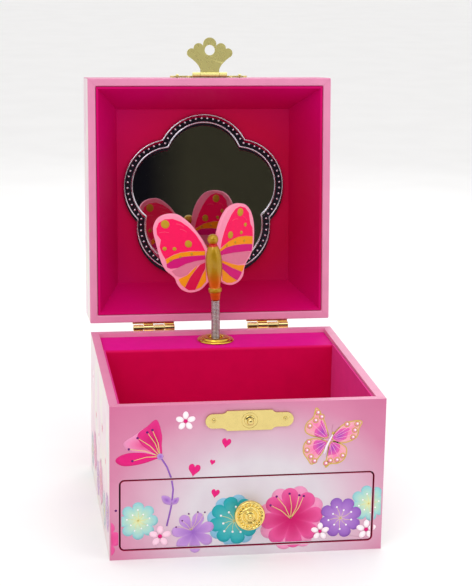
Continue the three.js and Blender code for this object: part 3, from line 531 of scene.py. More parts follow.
def smooth_loop(points, steps=6):
    """A closed curve through the points."""
    made = []
    for i in range(len(points)):
        a, b, c, d = (Vector(points[(i + k - 1) % len(points)]) for k in range(4))
        for t in (k / steps for k in range(steps)):
            cubic = (3 * b - a - 3 * c + d) * t ** 3
            made.append(tuple(0.5 * (2 * b + (c - a) * t + (2 * a - 5 * b + 4 * c - d) * t * t + cubic)))
    return made


def finish_piece(obj, body, slot, *stands_for):
    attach(obj, body)
    if stands_for:
        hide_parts(*stands_for)


# ---- Camera, floor and light ----

CAMERA_EYE = Vector((-100.5, -663.0, 261.2))
CAMERA_TURN = (8.82, 13.97, 0.957)  # degrees to the right, down, and rolled
CAMERA_LENS = 101.32
FLOOR_SIZE = 6000
FLAT = [(0, 1, 2, 3)]


def add_camera():
    data = bpy.data.cameras.new("Camera")
    data.lens = CAMERA_LENS
    data.sensor_width = 36
    data.clip_start = 0.01
    turn, tilt, roll = (radians(angle) for angle in CAMERA_TURN)
    camera = add_object("Camera", data)
    camera.matrix_world = placed(CAMERA_EYE * MM, (-turn, "Z"), (pi / 2 - tilt, "X"), (roll, "Z"))
    bpy.context.scene.camera = camera


def add_light(name, place, size, power):
    """A square light of size mm, aimed at the middle of the box."""
    data = bpy.data.lights.new(name, "AREA")
    data.shape = "RECTANGLE"
    data.size = data.size_y = size * MM
    data.energy = power
    light = add_object(name, data)
    light.location = Vector(place) * MM
    light.rotation_mode = "QUATERNION"
    light.rotation_quaternion = (Vector((0, 0, 80)) - Vector(place)).to_track_quat("-Z", "Y")


def add_stage():
    world = bpy.data.worlds.new("World")
    bpy.context.scene.world = world
    world.use_nodes = True
    background = world.node_tree.nodes["Background"]
    background.inputs["Color"].default_value = (1.0, 0.99, 0.985, 1)
    background.inputs["Strength"].default_value = 0.93

    shader = Shader("floor", 0.7, specular=0.2)
    MATERIALS["floor"] = shader.finish(
        shader.ramp(shader.noise(60, 2), [(0.3, (0.95, 0.95, 0.95, 1)), (0.8, (0.92, 0.92, 0.92, 1))])
    )
    corners = [(x * FLOOR_SIZE, y * FLOOR_SIZE, -0.02) for x, y in ((-1, -1), (1, -1), (1, 1), (-1, 1))]
    floor = shape("floor", (corners, FLAT), "floor", smooth=False)

    # The dark half of the studio, seen only in reflections.
    corners = [(-700, -820, 25), (800, -820, 25), (800, -820, 560), (-700, -820, 560)]
    card = shape("studio_dark", (corners, FLAT), "studio_dark", smooth=False)
    card.visible_camera = False
    card.visible_diffuse = False
    card.visible_shadow = False

    add_light("key", (-350, -650, 620), 420, 1.2)
    add_light("fill", (520, -560, 380), 380, 0.5)
    add_light("top", (0, -60, 800), 500, 0.7)
    add_light("back", (150, 600, 500), 400, 0.9)
    bpy.context.scene.view_settings.view_transform = "Standard"


# ---- Case ----

SEAM_WIDTH = 0.14
SEAM_DEPTH = 0.12
DRAWER_SLOT = 0.7
BUSH_NECK = 4.7


def box_shell(name, low_z, high_z, cavity_low, cavity_high, seam_z, paper, holes=()):
    """A board box, hollow inside, with rounded edges and fine seams where its corners are mitred."""
    shell = solid(name, [box_part((-half_x, -half_y, low_z), (half_x, half_y, high_z))], "front_paper")
    x, y = half_x - wall, half_y - wall
    carve(shell, box_part((-x, -y, cavity_low), (x, y, cavity_high)), *holes)
    settle(soften(shell, 0.55))
    blade = box_part((-wall, -SEAM_WIDTH / 2, -SEAM_DEPTH), (wall, SEAM_WIDTH / 2, SEAM_DEPTH))
    for sx in (-1, 1):
        for sy in (-1, 1):
            corner = Vector((sx * (half_x - wall / 2), sy * (half_y - wall / 2), seam_z))
            carve(shell, blade, matrix=placed(corner, (atan2(sy, sx), "Z")))
    paint_faces(shade(shell), paper)
    return shell


def opening_outline(grow):
    half = (drawer_high - drawer_low) / 2
    return round_rectangle(half.x + grow, half.z + grow, 1.5 + grow, knob_z)


def back_hole(radius, sides, centre):
    """A round hole through the back board."""
    return prism_part(circle(radius, sides, centre.x, centre.z), half_y - wall - 1, half_y + 1, facing_front)


def inset_of(centre):
    """How far a point lies outside the box's outline; it is negative inside."""
    return max(abs(centre.x) - half_x, abs(centre.y) - half_y)


def case_paper(centre, normal):
    if centre.z > rim_z - 0.7:
        return "edge_paper"
    if inset_of(centre) < -wall + 0.2:
        return "inside_pink"
    if inset_of(centre) < -0.4 and centre.z > 0.5:
        return "slot_paper"
    return "side_paper" if abs(normal.x) > 0.75 else "front_paper"


def lid_paper(centre, normal):
    if centre.z < lid_rim + 0.7:
        return "edge_paper"
    if inset_of(centre) < -wall + 0.2 and centre.z < lid_top - 1:
        return "inside_pink"
    return "lid_side_paper" if abs(normal.x) > 0.75 else "lid_paper"


def drawer_paper(centre, normal):
    return "front_paper" if centre.y < -half_y + 0.35 else "slot_paper"


def add_case():
    holes = [
        prism_part(opening_outline(DRAWER_SLOT), -half_y - 1, -half_y + wall + 1, facing_front),
        back_hole(4.5, 40, key_centre),
        back_hole(1.4, 20, middle_of("movement_screw_left")),
        back_hole(1.4, 20, middle_of("movement_screw_right")),
    ]
    shell = box_shell("case_shell", 0, rim_z, -1, rim_z + 1, rim_z, case_paper, holes)
    finish_piece(shell, "case", "printed_paper", "front_panel", "right_panel", "back_panel", "left_panel")


def add_riser():
    """The deck and the board below its front edge, covered by one sheet of lining."""
    board_low, board_high = span("movement_partition")
    corner = 1.1
    outline = [
        (board_high.y, board_low.z), (board_high.y, deck_low.z),
        (deck_high.y, deck_low.z), (deck_high.y, deck_high.z),
    ]
    for k in range(7):
        angle = pi / 2 * (1 + k / 6)
        outline.append((board_low.y + corner * (1 + cos(angle)), deck_high.z - corner * (1 - sin(angle))))
    outline.append((board_low.y, board_low.z))
    part = prism_part(outline, deck_low.x, deck_high.x, lambda u, v, w: (w, u, v))
    # Crimson on the riser's face and magenta on the deck's top, where the magenta is painted sheen.
    riser = solid("riser_wrap", [part], "deck")
    rod_low, rod_high = span("stop_rod")
    rod = (rod_low + rod_high) / 2
    for x, y, radius in ((0, shaft_y, BUSH_NECK + 0.1), (rod.x, rod.y, (rod_high.x - rod_low.x) / 2 + 0.2)):
        hole = circle(radius, 36, x, y)
        carve(riser, prism_part(hole, deck_low.z - 1, deck_high.z + 1, lambda *place: place))
    finish_piece(shade(riser), "case", "magenta_paper", "movement_deck", "movement_partition")


def add_drawer_front():
    board = prism_part(opening_outline(0), -half_y, -half_y + wall, facing_front)
    face = solid("drawer_face", [board], "front_paper")
    carve(face, prism_part(circle(1.6, 24, 0, knob_z), -half_y - 1, -half_y + wall + 1, facing_front))
    paint_faces(shade(settle(soften(face, 0.3))), drawer_paper)
    finish_piece(face, "drawer", "printed_paper", "drawer_front")


# ---- Lid ----

def add_lid():
    shell = box_shell("lid_shell", lid_rim, lid_top, lid_rim - 1, lid_board, lid_rim, lid_paper)
    boards = [f"lid_{side}_rail" for side in ("front", "right", "back", "left")] + ["lid_top_panel"]
    finish_piece(move(shell, OPEN_LID), "lid", "printed_paper", *boards)


LOBES = 5
LOBE_RADIUS = 21.8
LOBE_DISTANCE = 16.5
MIRROR_BAND = 3.7


def five_lobes(inset, steps=26):
    """The mirror's outline, set in by inset, about its own centre with the first lobe towards -Y."""
    radius = LOBE_RADIUS - inset
    half = pi / LOBES
    cusp = LOBE_DISTANCE * cos(half) + sqrt(radius ** 2 - (LOBE_DISTANCE * sin(half)) ** 2)
    reach = atan2(cusp * sin(half), cusp * cos(half) - LOBE_DISTANCE)
    points = []
    for towards in (-pi / 2 + 2 * half * i for i in range(LOBES)):
        for angle in (towards - reach + 2 * reach * k / steps for k in range(steps)):
            u = LOBE_DISTANCE * cos(towards) + radius * cos(angle)
            v = LOBE_DISTANCE * sin(towards) + radius * sin(angle)
            points.append((u, v))
    return points


def evenly(points, spacing):
    """Points along a closed line at about even spacing."""
    ends = [(Vector(a), Vector(b)) for a, b in zip(points, points[1:] + points[:1])]
    lengths = [(b - a).length for a, b in ends]
    total = sum(lengths)
    number = round(total / spacing)
    made, walked, i = [], 0.0, 0
    for wanted in (total * k / number for k in range(number)):
        while walked + lengths[i] < wanted:
            walked += lengths[i]
            i += 1
        made.append(ends[i][0].lerp(ends[i][1], (wanted - walked) / lengths[i]))
    return made


def add_mirror_trim():
    low, high = span("mirror_frame", SHUT)
    centre = (low + high) / 2

    def lay(u, v, w):
        return (centre.x + u, centre.y + v, low.z + w)

    rims = []
    for inset, radius, sink in ((0.3, 0.38, 0.05), (MIRROR_BAND + 0.1, 0.45, 0.25)):
        rims.append(tube([lay(u, v, sink) for u, v in five_lobes(inset)], radius, 8, closed=True))
    levels = [(0.62, 0.12), (0.6, -0.12), (0.42, -0.42), (0.2, -0.55)]
    beads = [dome_part(levels, 10, *spot, lay) for spot in evenly(five_lobes(MIRROR_BAND / 2), 2.7)]
    for name, parts in (("mirror_rims", rims), ("mirror_beads", beads)):
        finish_piece(solid(name, parts, "silver_foil", OPEN_LID), "lid", "gunmetal_foil")


# ---- Fittings: profiles are (radius, height) in mm, turned about Z and then pointed outwards ----

def at_front(x, y, z):
    """Places a piece turned about Z so that its axis points to the front."""
    return placed((x, y, z), (pi / 2, "X"))


def add_latch_stud():
    stud_z = middle_of("latch_stud").z
    length = 2.9
    profile = [
        (0, -2.8), (1, -2.8), (1, 0), (2.2, 0), (2.15, 0.35), (1.6, 0.6), (1.15, 0.75), (1.35, 1.1),
        (1.45, 1.6), (1.3, 2.2), (0.9, 2.65), (0.45, 2.86), (0, length),
    ]
    place = at_front(0, span("latch_stud")[0].y + length, stud_z)
    stud = turned("latch_stud_turned", rounded(profile, 0.3), "pale_gold", place)
    finish_piece(stud, "case", "pale_gold", "latch_stud")
    face = span("latch_plate")[0].y + 0.03
    ring = tube([(u, face, stud_z + v) for u, v in circle(3.2, 64)], 0.14, 8, closed=True)
    finish_piece(solid("latch_emboss", [ring], "pale_gold"), "case", "pale_gold")


def add_nail(node, body, material, matrix=STILL, undo=STILL):
    low, high = span(node, undo)
    middle = (low + high) / 2
    profile = [
        (0, -2.5), (0.38, -2.5), (0.38, 0.02), (0.84, 0.02), (0.8, 0.22),
        (0.55, 0.48), (0.24, 0.56), (0.16, 0.4), (0, 0.36),
    ]
    place = matrix @ at_front(middle.x, low.y + 0.6, middle.z)
    finish_piece(turned(f"{node}_head", rounded(profile, 0.1), material, place, 32), body, material, node)


KNOB_FLUTES = 20
FLUTE_DEPTH = 0.45
FLUTE_SLANT = 0.2
KNOB_BAND = (0.6, 0.84)  # the flutes' inner and outer edge as shares of the knob's radius


def add_knob():
    """The drawer pull: a smooth rim, a band of slanted flutes, two rings and a domed centre."""
    low, high = span("drawer_knob")
    radius = (high.x - low.x) / 2
    length = high.y - low.y
    inner, outer = KNOB_BAND
    shank = [(0, 4.4), (1.45, 4.4), (1.45, 0.1), (3.6, 0.1), (3.4, 0.7), (2.9, 1.3), (2.8, 2.5), (3.6, 3.1)]
    rim = [
        (0.86, 3.5), (0.97, 4.0), (1.0, 4.6), (1.0, 5.1), (0.985, 5.6), (0.95, 6.0), (0.9, 6.12),
        (0.86, 6.05),
    ]
    band = [(outer + (inner - outer) * k / 8, 5.9) for k in range(9)]
    middle = [
        (0.58, 6.1), (0.54, 6.3), (0.49, 6.3), (0.45, 6.05), (0.42, 5.75), (0.38, 5.75), (0.35, 6.05),
        (0.31, 6.4), (0.26, 6.5), (0.21, 6.5), (0.18, 6.8), (0.14, 7.5), (0.08, length - 0.05), (0, length),
    ]
    profile = shank + [(radius * share, height) for share, height in rim + band + middle]
    knob = turned("knob_turned", profile, "knob_gold", sides=KNOB_FLUTES * 10)
    for vertex in knob.data.vertices:
        point = vertex.co / MM
        across = (hypot(point.x, point.y) / radius - inner) / (outer - inner)
        if point.z > 4.3 and 0 < across < 1:
            turn = KNOB_FLUTES * (atan2(point.y, point.x) + FLUTE_SLANT * across)
            vertex.co.z += FLUTE_DEPTH * sin(pi * across) * cos(turn) * MM
    finish_piece(move(knob, at_front(0, -half_y, knob_z)), "drawer", "rich_gold", "drawer_knob")


def add_screw(node, body, shaft, head):
    """A screw seen from behind, with a slot cut across its head."""
    low, high = span(node)
    middle = (low + high) / 2
    end = low.y - high.y
    profile = [(0, end), (shaft, end), (shaft, head[0][1]), *head, (0, 0)]
    screw = outward(turned(f"{node}_slotted", rounded(profile, 0.15), "steel", sides=40))
    reach = head[0][0] + 1
    carve(screw, box_part((-reach, -0.28, -0.6), (reach, 0.28, 1)), matrix=Matrix.Rotation(0.6, 4, "Z"))
    move(screw, placed((middle.x, high.y, middle.z), (-pi / 2, "X")))
    finish_piece(screw, body, "steel", node)


def add_bush():
    low, high = span("spindle_bush")
    radius = (high.x - low.x) / 2 + 0.45
    plate = deck_high.z + 0.2
    sink = deck_high.z - 0.4
    bore = 1.62
    profile = [
        (bore, low.z), (BUSH_NECK, low.z), (BUSH_NECK, plate), (radius, plate), (radius, plate + 0.35),
        (radius - 0.5, plate + 0.75), (radius - 1.5, plate + 0.7), (radius - 1.8, plate + 0.75),
        (radius - 2.1, plate + 1.4), (4.6, plate + 1.5), (3.9, plate + 1.45), (3.2, plate + 0.9),
        (3.1, sink), (bore, sink),
    ]
    fine = rounded([profile[-1], *profile, profile[0]], 0.3)[1:-1]
    sides = 72
    vertices = [(x, y, height) for share, height in fine for x, y in circle(share, sides, 0, shaft_y)]
    bush = solid("bush_turned", [(vertices, ring_faces(len(fine), sides, closed=True))], "rich_gold")
    finish_piece(bush, "case", "rich_gold", "spindle_bush")


def add_hinge_nails(body, inset, undo=STILL, matrix=STILL):
    """Three nail heads on each hinge leaf of a body, the middle one set further from the hinge line."""
    levels = [(1.0, -0.1), (1.0, 0.1), (0.75, 0.4), (0.4, 0.58), (0.12, 0.62)]
    heads = []

    def on_back(u, v, w):
        return (u, half_y + 0.9 + w, v)

    for side in ("left", "right"):
        low, high = span(f"hinge_{body}_leaf_{side}", undo)
        edge = low.z if inset > 0 else high.z
        for x, off in ((-6, 0), (0, -0.4 * inset), (6, 0)):
            heads.append(dome_part(levels, 16, (low.x + high.x) / 2 + x, edge + inset + off, on_back))
    finish_piece(solid(f"hinge_nails_{body}", heads, "hinge_gold", matrix), body, "rich_gold")


# ---- Spring shaft ----

COIL_PITCH = 0.62
COIL_WIRE = 0.31
COIL_RADIUS = 1.69
COIL_STEPS = 20


def add_spring():
    low = span("figure_spring")[0]
    top = FIGURE @ Vector((0, 0, -4.9))
    start = Vector((0, shaft_y, low.z))
    middle = Vector((0, shaft_y, (low.z + top.z) / 2))

    def along(t):
        return start * (1 - t) ** 2 + middle * 2 * t * (1 - t) + top * t * t

    count = int((top.z - low.z) / COIL_PITCH) * COIL_STEPS
    line = []
    for i in range(count + 1):
        angle = 2 * pi * i / COIL_STEPS
        line.append(along(0.012 + 0.976 * i / count) + COIL_RADIUS * Vector((cos(angle), sin(angle), 0)))
    core = tube([along(t / 12) for t in range(13)], COIL_RADIUS - 0.1, 20)
    spring = solid("spring_coil", [tube(line, COIL_WIRE, 6), core], "spring_steel")
    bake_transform(spring)
    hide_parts("figure_spring")


# ---- Paint laid on meshes ----

def colour_mesh(obj, colours):
    attribute = obj.data.attributes.new("Paint", "FLOAT_COLOR", "POINT")
    attribute.data.foreach_set("color", [value for colour in colours for value in colour])


def lerp(first, second, t):
    return tuple(a + (b - a) * t for a, b in zip(first, second))


# Printed motifs are lists of cells; a cell is a list of corners (u, v, red, green, blue).

def fan(outline, centre, inner, outer, rings=4, power=1.0):
    """Cells that fill an outline, with the colour running from its centre to its edge."""
    def corner(point, t):
        return lerp(centre, point, t) + lerp(inner, outer, t ** power)[:3]

    cells = []
    for ring in range(rings):
        near, far = ring / rings, (ring + 1) / rings
        for a, b in zip(outline, outline[1:] + outline[:1]):
            cell = [corner(a, far), corner(b, far)]
            cells.append(cell + ([corner(b, near), corner(a, near)] if ring else [corner(a, 0)]))
    return cells


def dot(u, v, radius, colour, count=12):
    return fan(circle(radius, count, u, v), (u, v), colour, colour, 1)


def strip(points, width, colour, end_width=None):
    """A line of some width through the points."""
    end_width = width if end_width is None else end_width
    sides = []
    for i, point in enumerate(points):
        ahead = Vector(points[min(i + 1, len(points) - 1)])
        behind = Vector(points[max(i - 1, 0)])
        along = (ahead - behind).normalized()
        half = (width + (end_width - width) * i / (len(points) - 1)) / 2
        across = Vector((-along.y, along.x)) * half
        sides.append((Vector(point) + across, Vector(point) - across))
    cells = []
    for (a, b), (c, d) in zip(sides, sides[1:]):
        cells.append([tuple(p) + tuple(colour[:3]) for p in (a, b, d, c)])
    return cells


def flower_outline(u, v, radius, petals, notch=0.3, turn=0.0, per_petal=12):
    outline = []
    for k in range(petals * per_petal):
        angle = 2 * pi * k / (petals * per_petal)
        lobe = abs(cos(petals * angle / 2)) ** 0.55
        reach = radius * (1 - notch + notch * lobe)
        outline.append((u + reach * cos(angle + turn), v + reach * sin(angle + turn)))
    return outline


def heart(u, v, size, colour, tilt=-0.2):
    outline = []
    for k in range(28):
        t = 2 * pi * k / 28
        x = 16 * sin(t) ** 3
        y = 13 * cos(t) - 5 * cos(2 * t) - 2 * cos(3 * t) - cos(4 * t)
        x, y = x * size / 36, y * size / 29
        outline.append((u + x * cos(tilt) - y * sin(tilt), v + x * sin(tilt) + y * cos(tilt)))
    return fan(outline, (u, v), colour, lerp(colour, srgb(235, 40, 130), 0.6), 3)


def clip(cell, axis, limit, keep_below):
    """The part of a cell on one side of a line."""
    made = []
    for i, here in enumerate(cell):
        following = cell[(i + 1) % len(cell)]
        inside = (here[axis] <= limit) == keep_below
        next_inside = (following[axis] <= limit) == keep_below
        if inside:
            made.append(here)
        if inside != next_inside:
            t = (limit - here[axis]) / (following[axis] - here[axis])
            made.append(lerp(here, following, t))
    return made


PRINT_LIFT = 0.015
PRINT_STEP = 0.012
INK_THICKNESS = 0.01


def add_print(name, body, motifs, regions, lay):
    """Ink in thin closed sheets, clipped to the regions. Each layer lies a hair above the one before."""
    vertices, colours, faces = [], [], []
    layers = [(level + first, cells) for first, motif in motifs for level, cells in enumerate(motif)]
    for level, cells in layers:
        for region in regions:
            known = {}
            for cell in cells:
                for side, limit in enumerate(region):
                    cell = clip(cell, side // 2, limit, side % 2 == 1) if len(cell) > 2 else []
                corners = []
                for u, v, *colour in cell:
                    key = (round(u, 3), round(v, 3))
                    if key not in known:
                        known[key] = len(vertices)
                        vertices.append(lay(u, v, PRINT_LIFT + PRINT_STEP * level))
                        colours.append((*colour, 1.0))
                    if known[key] not in corners:
                        corners.append(known[key])
                if len(corners) > 2:
                    faces.append(tuple(corners))
    ink = shape(name, (vertices, faces), "print")
    colour_mesh(ink, colours)
    thick = outward(ink).modifiers.new("Ink", "SOLIDIFY")
    thick.thickness = INK_THICKNESS * MM
    thick.offset = 0
    finish_piece(settle(ink), body, "printed_paper")


GOLD_LINE = srgb(232, 214, 130)
PLUM = srgb(104, 24, 112)
WHITE = srgb(255, 250, 252)
MAGENTA = srgb(222, 14, 118)
DEEP = srgb(196, 0, 96)
BLUSH = srgb(244, 150, 196)
TEAL = srgb(22, 160, 170)
TEAL_PALE = srgb(142, 204, 212)
PURPLE = srgb(146, 92, 186)
PURPLE_PALE = srgb(196, 150, 214)
CREAM = srgb(226, 232, 170)


def stamens(u, v, spots, tip_colour, width, tip=0.5):
    """Fine gold threads from a centre to dots at their tips."""
    shapes = []
    for su, sv in spots:
        bend = ((u + su) / 2 + (sv - v) * 0.06, (v + sv) / 2 - (su - u) * 0.06)
        shapes += strip([(u, v), bend, (su, sv)], width, GOLD_LINE, width * 0.7)
    tips = []
    for su, sv in spots:
        tips += dot(su, sv, tip, tip_colour)
    return [shapes, tips]


def starburst(u, v, radius, count, width=0.18, tip=0.4, start=0.2):
    """A ring of white-tipped stamens, a little uneven in length."""
    spots = []
    for k in range(count):
        reach = radius * (0.85 + 0.15 * cos(3 * k))
        angle = start + 2 * pi * k / count
        spots.append((u + reach * cos(angle), v + reach * sin(angle)))
    return stamens(u, v, spots, WHITE, width, tip)


def blossom(u, v, radius, petals, inner, outer, notch=0.28, turn=0.0, under=None, spread=0.8):
    """A printed flower, with a paler second row of petals behind it if under is given."""
    shapes = []
    if under is not None:
        back = flower_outline(u, v, radius * 1.08, petals, notch, turn + pi / petals)
        shapes.append(fan(back, (u, v), outer, under))
    shapes.append(fan(flower_outline(u, v, radius, petals, notch, turn), (u, v), inner, outer, 5, spread))
    return shapes


def poppy():
    calyx = (-35.1, 42.8)
    faded = smooth_loop([(-35.1, 43), (-38, 51), (-41, 54.6), (-45, 52), (-49.4, 48.8), (-47.4, 45.6),
                         (-41, 44)], 6)
    upright = smooth_loop([(-35, 43), (-34.5, 48), (-34.5, 52), (-36.5, 57.9), (-40.2, 55.4), (-44, 52),
                           (-42, 47.6)], 6)
    lower = smooth_loop([(-35.2, 42.6), (-41, 44.4), (-47.6, 44.6), (-51.8, 43), (-52.4, 41), (-49.2, 39.3),
                         (-42.8, 39.9), (-37.2, 41.6)], 6)
    shapes = [
        fan(faded, (-40, 47.6), MAGENTA, srgb(236, 150, 192)),
        fan(upright, (-37, 49), DEEP, srgb(226, 44, 132)),
        fan(lower, (-42, 42.4), MAGENTA, srgb(222, 26, 122)),
    ]
    spots = [(-47.4, 46.2), (-44.0, 50.7), (-40.2, 52.9), (-38.2, 53.8), (-46.0, 41.3)]
    shapes += stamens(*calyx, spots, PLUM, width=0.3)
    stem = [calyx, (-32.4, 38.4), (-30.6, 33.4), (-29.9, 29.0), (-30.4, 23.0), (-31.4, 18.0), (-32.4, 13.6)]
    shapes.append(strip(stem, 0.65, PURPLE))
    leaves = []
    for tip in ((-34.4, 26.4), (-27.6, 25.4)):
        base, end = Vector((-30.4, 22.6)), Vector(tip)
        across = Vector((-(end - base).y, (end - base).x)) * 0.3
        middle = (base + end) / 2
        leaf = smooth_loop([tuple(base), tuple(middle + across), tuple(end), tuple(middle - across)], 6)
        leaves += fan(leaf, tuple(middle), PURPLE, PURPLE_PALE, 2)
    shapes.append(leaves + fan(circle(1.3, 12, *calyx), calyx, PURPLE, PURPLE_PALE, 2))
    return shapes


def small_flower(u, v, radius, colour, middle, turn=0.3):
    shapes = []
    petals = []
    for k in range(5):
        angle = turn + 2 * pi * k / 5
        pu, pv = u + radius * 0.62 * cos(angle), v + radius * 0.62 * sin(angle)
        petal = []
        for along, across in circle(1.0, 14):
            along, across = along * radius * 0.41, across * radius * 0.3
            petal.append((pu + along * cos(angle) - across * sin(angle),
                          pv + along * sin(angle) + across * cos(angle)))
        petals += fan(petal, (pu, pv), colour, lerp(colour, BLUSH, 0.25), 2)
    shapes.append(petals)
    shapes.append(dot(u, v, radius * 0.2, middle))
    return shapes


def printed_butterfly():
    fills, hearts, lines, rings, spots, pips = [], [], [], [], [], []
    centre = Vector((32.3, 47.2))
    wings = [
        [(31.6, 48.4), (30.4, 54.2), (28.4, 58.6), (26.6, 60.7), (25.6, 57.0), (22.9, 54.4), (22.6, 51.0),
         (26.0, 49.0)],
        [(31.2, 46.6), (26.2, 48.0), (22.6, 46.6), (21.9, 42.6), (23.8, 39.4), (25.6, 37.3), (28.6, 40.6),
         (30.6, 44.0)],
        [(33.4, 48.2), (36.4, 52.4), (40.4, 54.6), (45.2, 54.6), (44.2, 51.6), (43.4, 48.2), (40.0, 46.2),
         (36.0, 46.0)],
        [(32.9, 46.2), (36.6, 45.6), (39.4, 43.4), (38.8, 39.4), (36.2, 37.4), (33.0, 37.2), (31.0, 35.9),
         (31.6, 40.6)],
    ]
    for points in wings:
        outline = smooth_loop(points, 5)
        middle = sum((Vector(p) for p in points), Vector((0, 0))) / len(points)
        fills += fan(outline, tuple(middle), srgb(242, 120, 176), srgb(240, 176, 176))
        near = [tuple(centre.lerp(Vector(p), 0.62)) for p in outline]
        hearts += fan(near, tuple(centre.lerp(middle, 0.5)), srgb(160, 66, 176), srgb(236, 96, 172))
        lines += strip(outline + [outline[0]], 0.42, srgb(214, 178, 84))
        for k in range(7):
            target = centre.lerp(Vector(outline[(k * 5 + 3) % len(outline)]), 0.8)
            lines += strip([tuple(centre.lerp(target, 0.25)), tuple(target)], 0.14, srgb(246, 190, 214))
        far = sorted(points, key=lambda p: -(Vector(p) - centre).length)[:4]
        for spot in far:
            at = centre.lerp(Vector(spot), 0.86)
            rings += dot(at.x, at.y, 1.2, srgb(212, 178, 80))
            spots += dot(at.x, at.y, 0.85, srgb(240, 130, 176))
            pips += dot(at.x + 0.15, at.y + 0.1, 0.42, WHITE)
    body = strip([(33.6, 49.4), (32.6, 47.4), (31.2, 44.6), (30.4, 41.6)], 0.5, srgb(250, 236, 246), 1.0)
    body += strip([(34.0, 50.6), (33.4, 49.6)], 0.9, srgb(220, 186, 90), 0.7)
    for feeler in ([(33.6, 49.6), (33.2, 51.6), (33.6, 53.6)], [(33.9, 49.6), (34.9, 51.2), (36.4, 52.6)]):
        lines += strip(feeler, 0.2, srgb(190, 120, 150))
    return [fills, hearts, lines, rings, spots, pips, body]


def heart_motifs(colour, *places):
    return [(0, [[cell for u, v, size in places for cell in heart(u, v, size, colour)]])]


def front_art():
    """Motifs as (first layer, layers), with neighbours that overlap started on different layers."""
    hearts = heart_motifs(MAGENTA, (-9.0, 47.6, 4.2), (-14.4, 39.7, 2.4), (-21.6, 36.9, 5.4),
                                   (-13.1, 26.7, 3.8))
    lily = blossom(-21.8, 10.4, 8.7, 7, PURPLE, PURPLE_PALE, 0.5, 0.35)
    lily += stamens(-22.6, 11.4, [(-26.2, 15.6), (-23.6, 18.4), (-20.0, 19.0), (-17.2, 18.8),
                   (-28.6, 13.0)], PLUM,
                    width=0.16, tip=0.36)
    pale_teal = blossom(-43.7, 16.2, 7.9, 8, CREAM, TEAL_PALE, 0.26)
    pale_teal += starburst(-43.7, 16.3, 4.6, 9, 0.16, 0.34)
    teal = blossom(-5.4, 14.8, 10.2, 8, srgb(110, 200, 196), TEAL, 0.27, 0.2, srgb(140, 190, 220))
    teal += starburst(-5.4, 14.6, 6.0, 10, 0.2, 0.46)
    magenta = blossom(17.9, 14.9, 12.8, 8, DEEP, srgb(234, 92, 160), 0.34, 0.1, srgb(236, 150, 190), 1.7)
    magenta += stamens(17.4, 14.6, [(9.2, 20.6), (11.6, 24.2), (16.8, 25.2), (20.8, 24.4),
                      (22.6, 24.0)], PLUM,
                       width=0.3, tip=0.5)
    purple = blossom(37.9, 14.2, 8.7, 8, PURPLE_PALE, PURPLE, 0.26, 0.3)
    purple += starburst(37.8, 14.0, 5.0, 9, start=0.5)
    corner = blossom(49.3, 19.8, 7.7, 8, CREAM, TEAL_PALE, 0.26, 0.2)
    corner += starburst(49.3, 19.7, 4.2, 8, 0.16, 0.34)
    edge = blossom(-58.6, 9.0, 8.2, 6, DEEP, srgb(236, 90, 160), 0.3)
    return [
        (0, poppy()),
        (0, small_flower(-25.2, 57.0, 3.9, WHITE, MAGENTA)), *hearts, (0, printed_butterfly()),
        (0, pale_teal), (4, small_flower(-35.0, 9.4, 4.4, srgb(250, 214, 230), MAGENTA)), (4, lily),
        (0, teal),
        (0, magenta), (8, small_flower(29.6, 8.6, 3.7, WHITE, MAGENTA)), (4, purple), (0, corner),
        (8, small_flower(48.6, 8.6, 4.1, WHITE, MAGENTA)), (0, edge), (2, [dot(-52.5, 20.9, 0.5, PLUM)]),
    ]


def flower_row(row, notch, spots):
    """Blossoms in a row of (u, v, radius, outer, inner), neighbours starting on different layers."""
    motifs = []
    for place, (u, v, radius, outer, inner) in enumerate(row):
        petals = blossom(u, v, radius, 8, inner, outer, notch, 0.1 * u)
        motifs.append((4 * (place % 2), petals + starburst(u, v, radius * 0.62, spots)))
    return motifs


def side_art():
    """The row of flowers carried round the side boards, paler than at the front."""
    row = [
        (-44, 12, 8, TEAL_PALE, CREAM), (-27, 17, 9, BLUSH, srgb(232, 110, 170)),
        (-9, 11, 8, PURPLE_PALE, PURPLE),
        (9, 16, 10, srgb(246, 176, 206), MAGENTA), (28, 11, 8, TEAL_PALE, CREAM),
        (44, 16, 8, PURPLE_PALE, PURPLE),
    ]
    faded = [(*place, lerp(outer, PALE, 0.5), lerp(inner, PALE, 0.45)) for *place, outer, inner in row]
    motifs = flower_row(faded, 0.26, 8) + heart_motifs(lerp(MAGENTA, PALE, 0.3), (-20, 36, 3.4),
                                                                                 (16, 42, 4.2),
                                                                                 (34, 34, 2.8))
    for u, v, radius in ((-2, 33, 3.6), (-38, 48, 3.2)):
        motifs.append((0, small_flower(u, v, radius, WHITE, MAGENTA)))
    return motifs


def lid_art():
    """A corner of flowers and some hearts on the lid's top, in the manner of the front."""
    row = [
        (-38, -36, 11, TEAL_PALE, CREAM), (-19, -41, 9, PURPLE, PURPLE_PALE), (-41, -15, 9, BLUSH, MAGENTA),
        (40, 38, 10, TEAL, TEAL_PALE), (22, 42, 8, BLUSH, MAGENTA),
    ]
    motifs = flower_row(row, 0.28, 9) + heart_motifs(MAGENTA, (2, 8, 9), (14, -4, 5), (-10, 22, 4))
    for u, v, radius in ((-24, 20, 5), (28, -24, 6)):
        motifs.append((0, small_flower(u, v, radius, WHITE, MAGENTA)))
    return motifs


PRINT_EDGE = 54.4
PRINT_MARGIN = 0.7


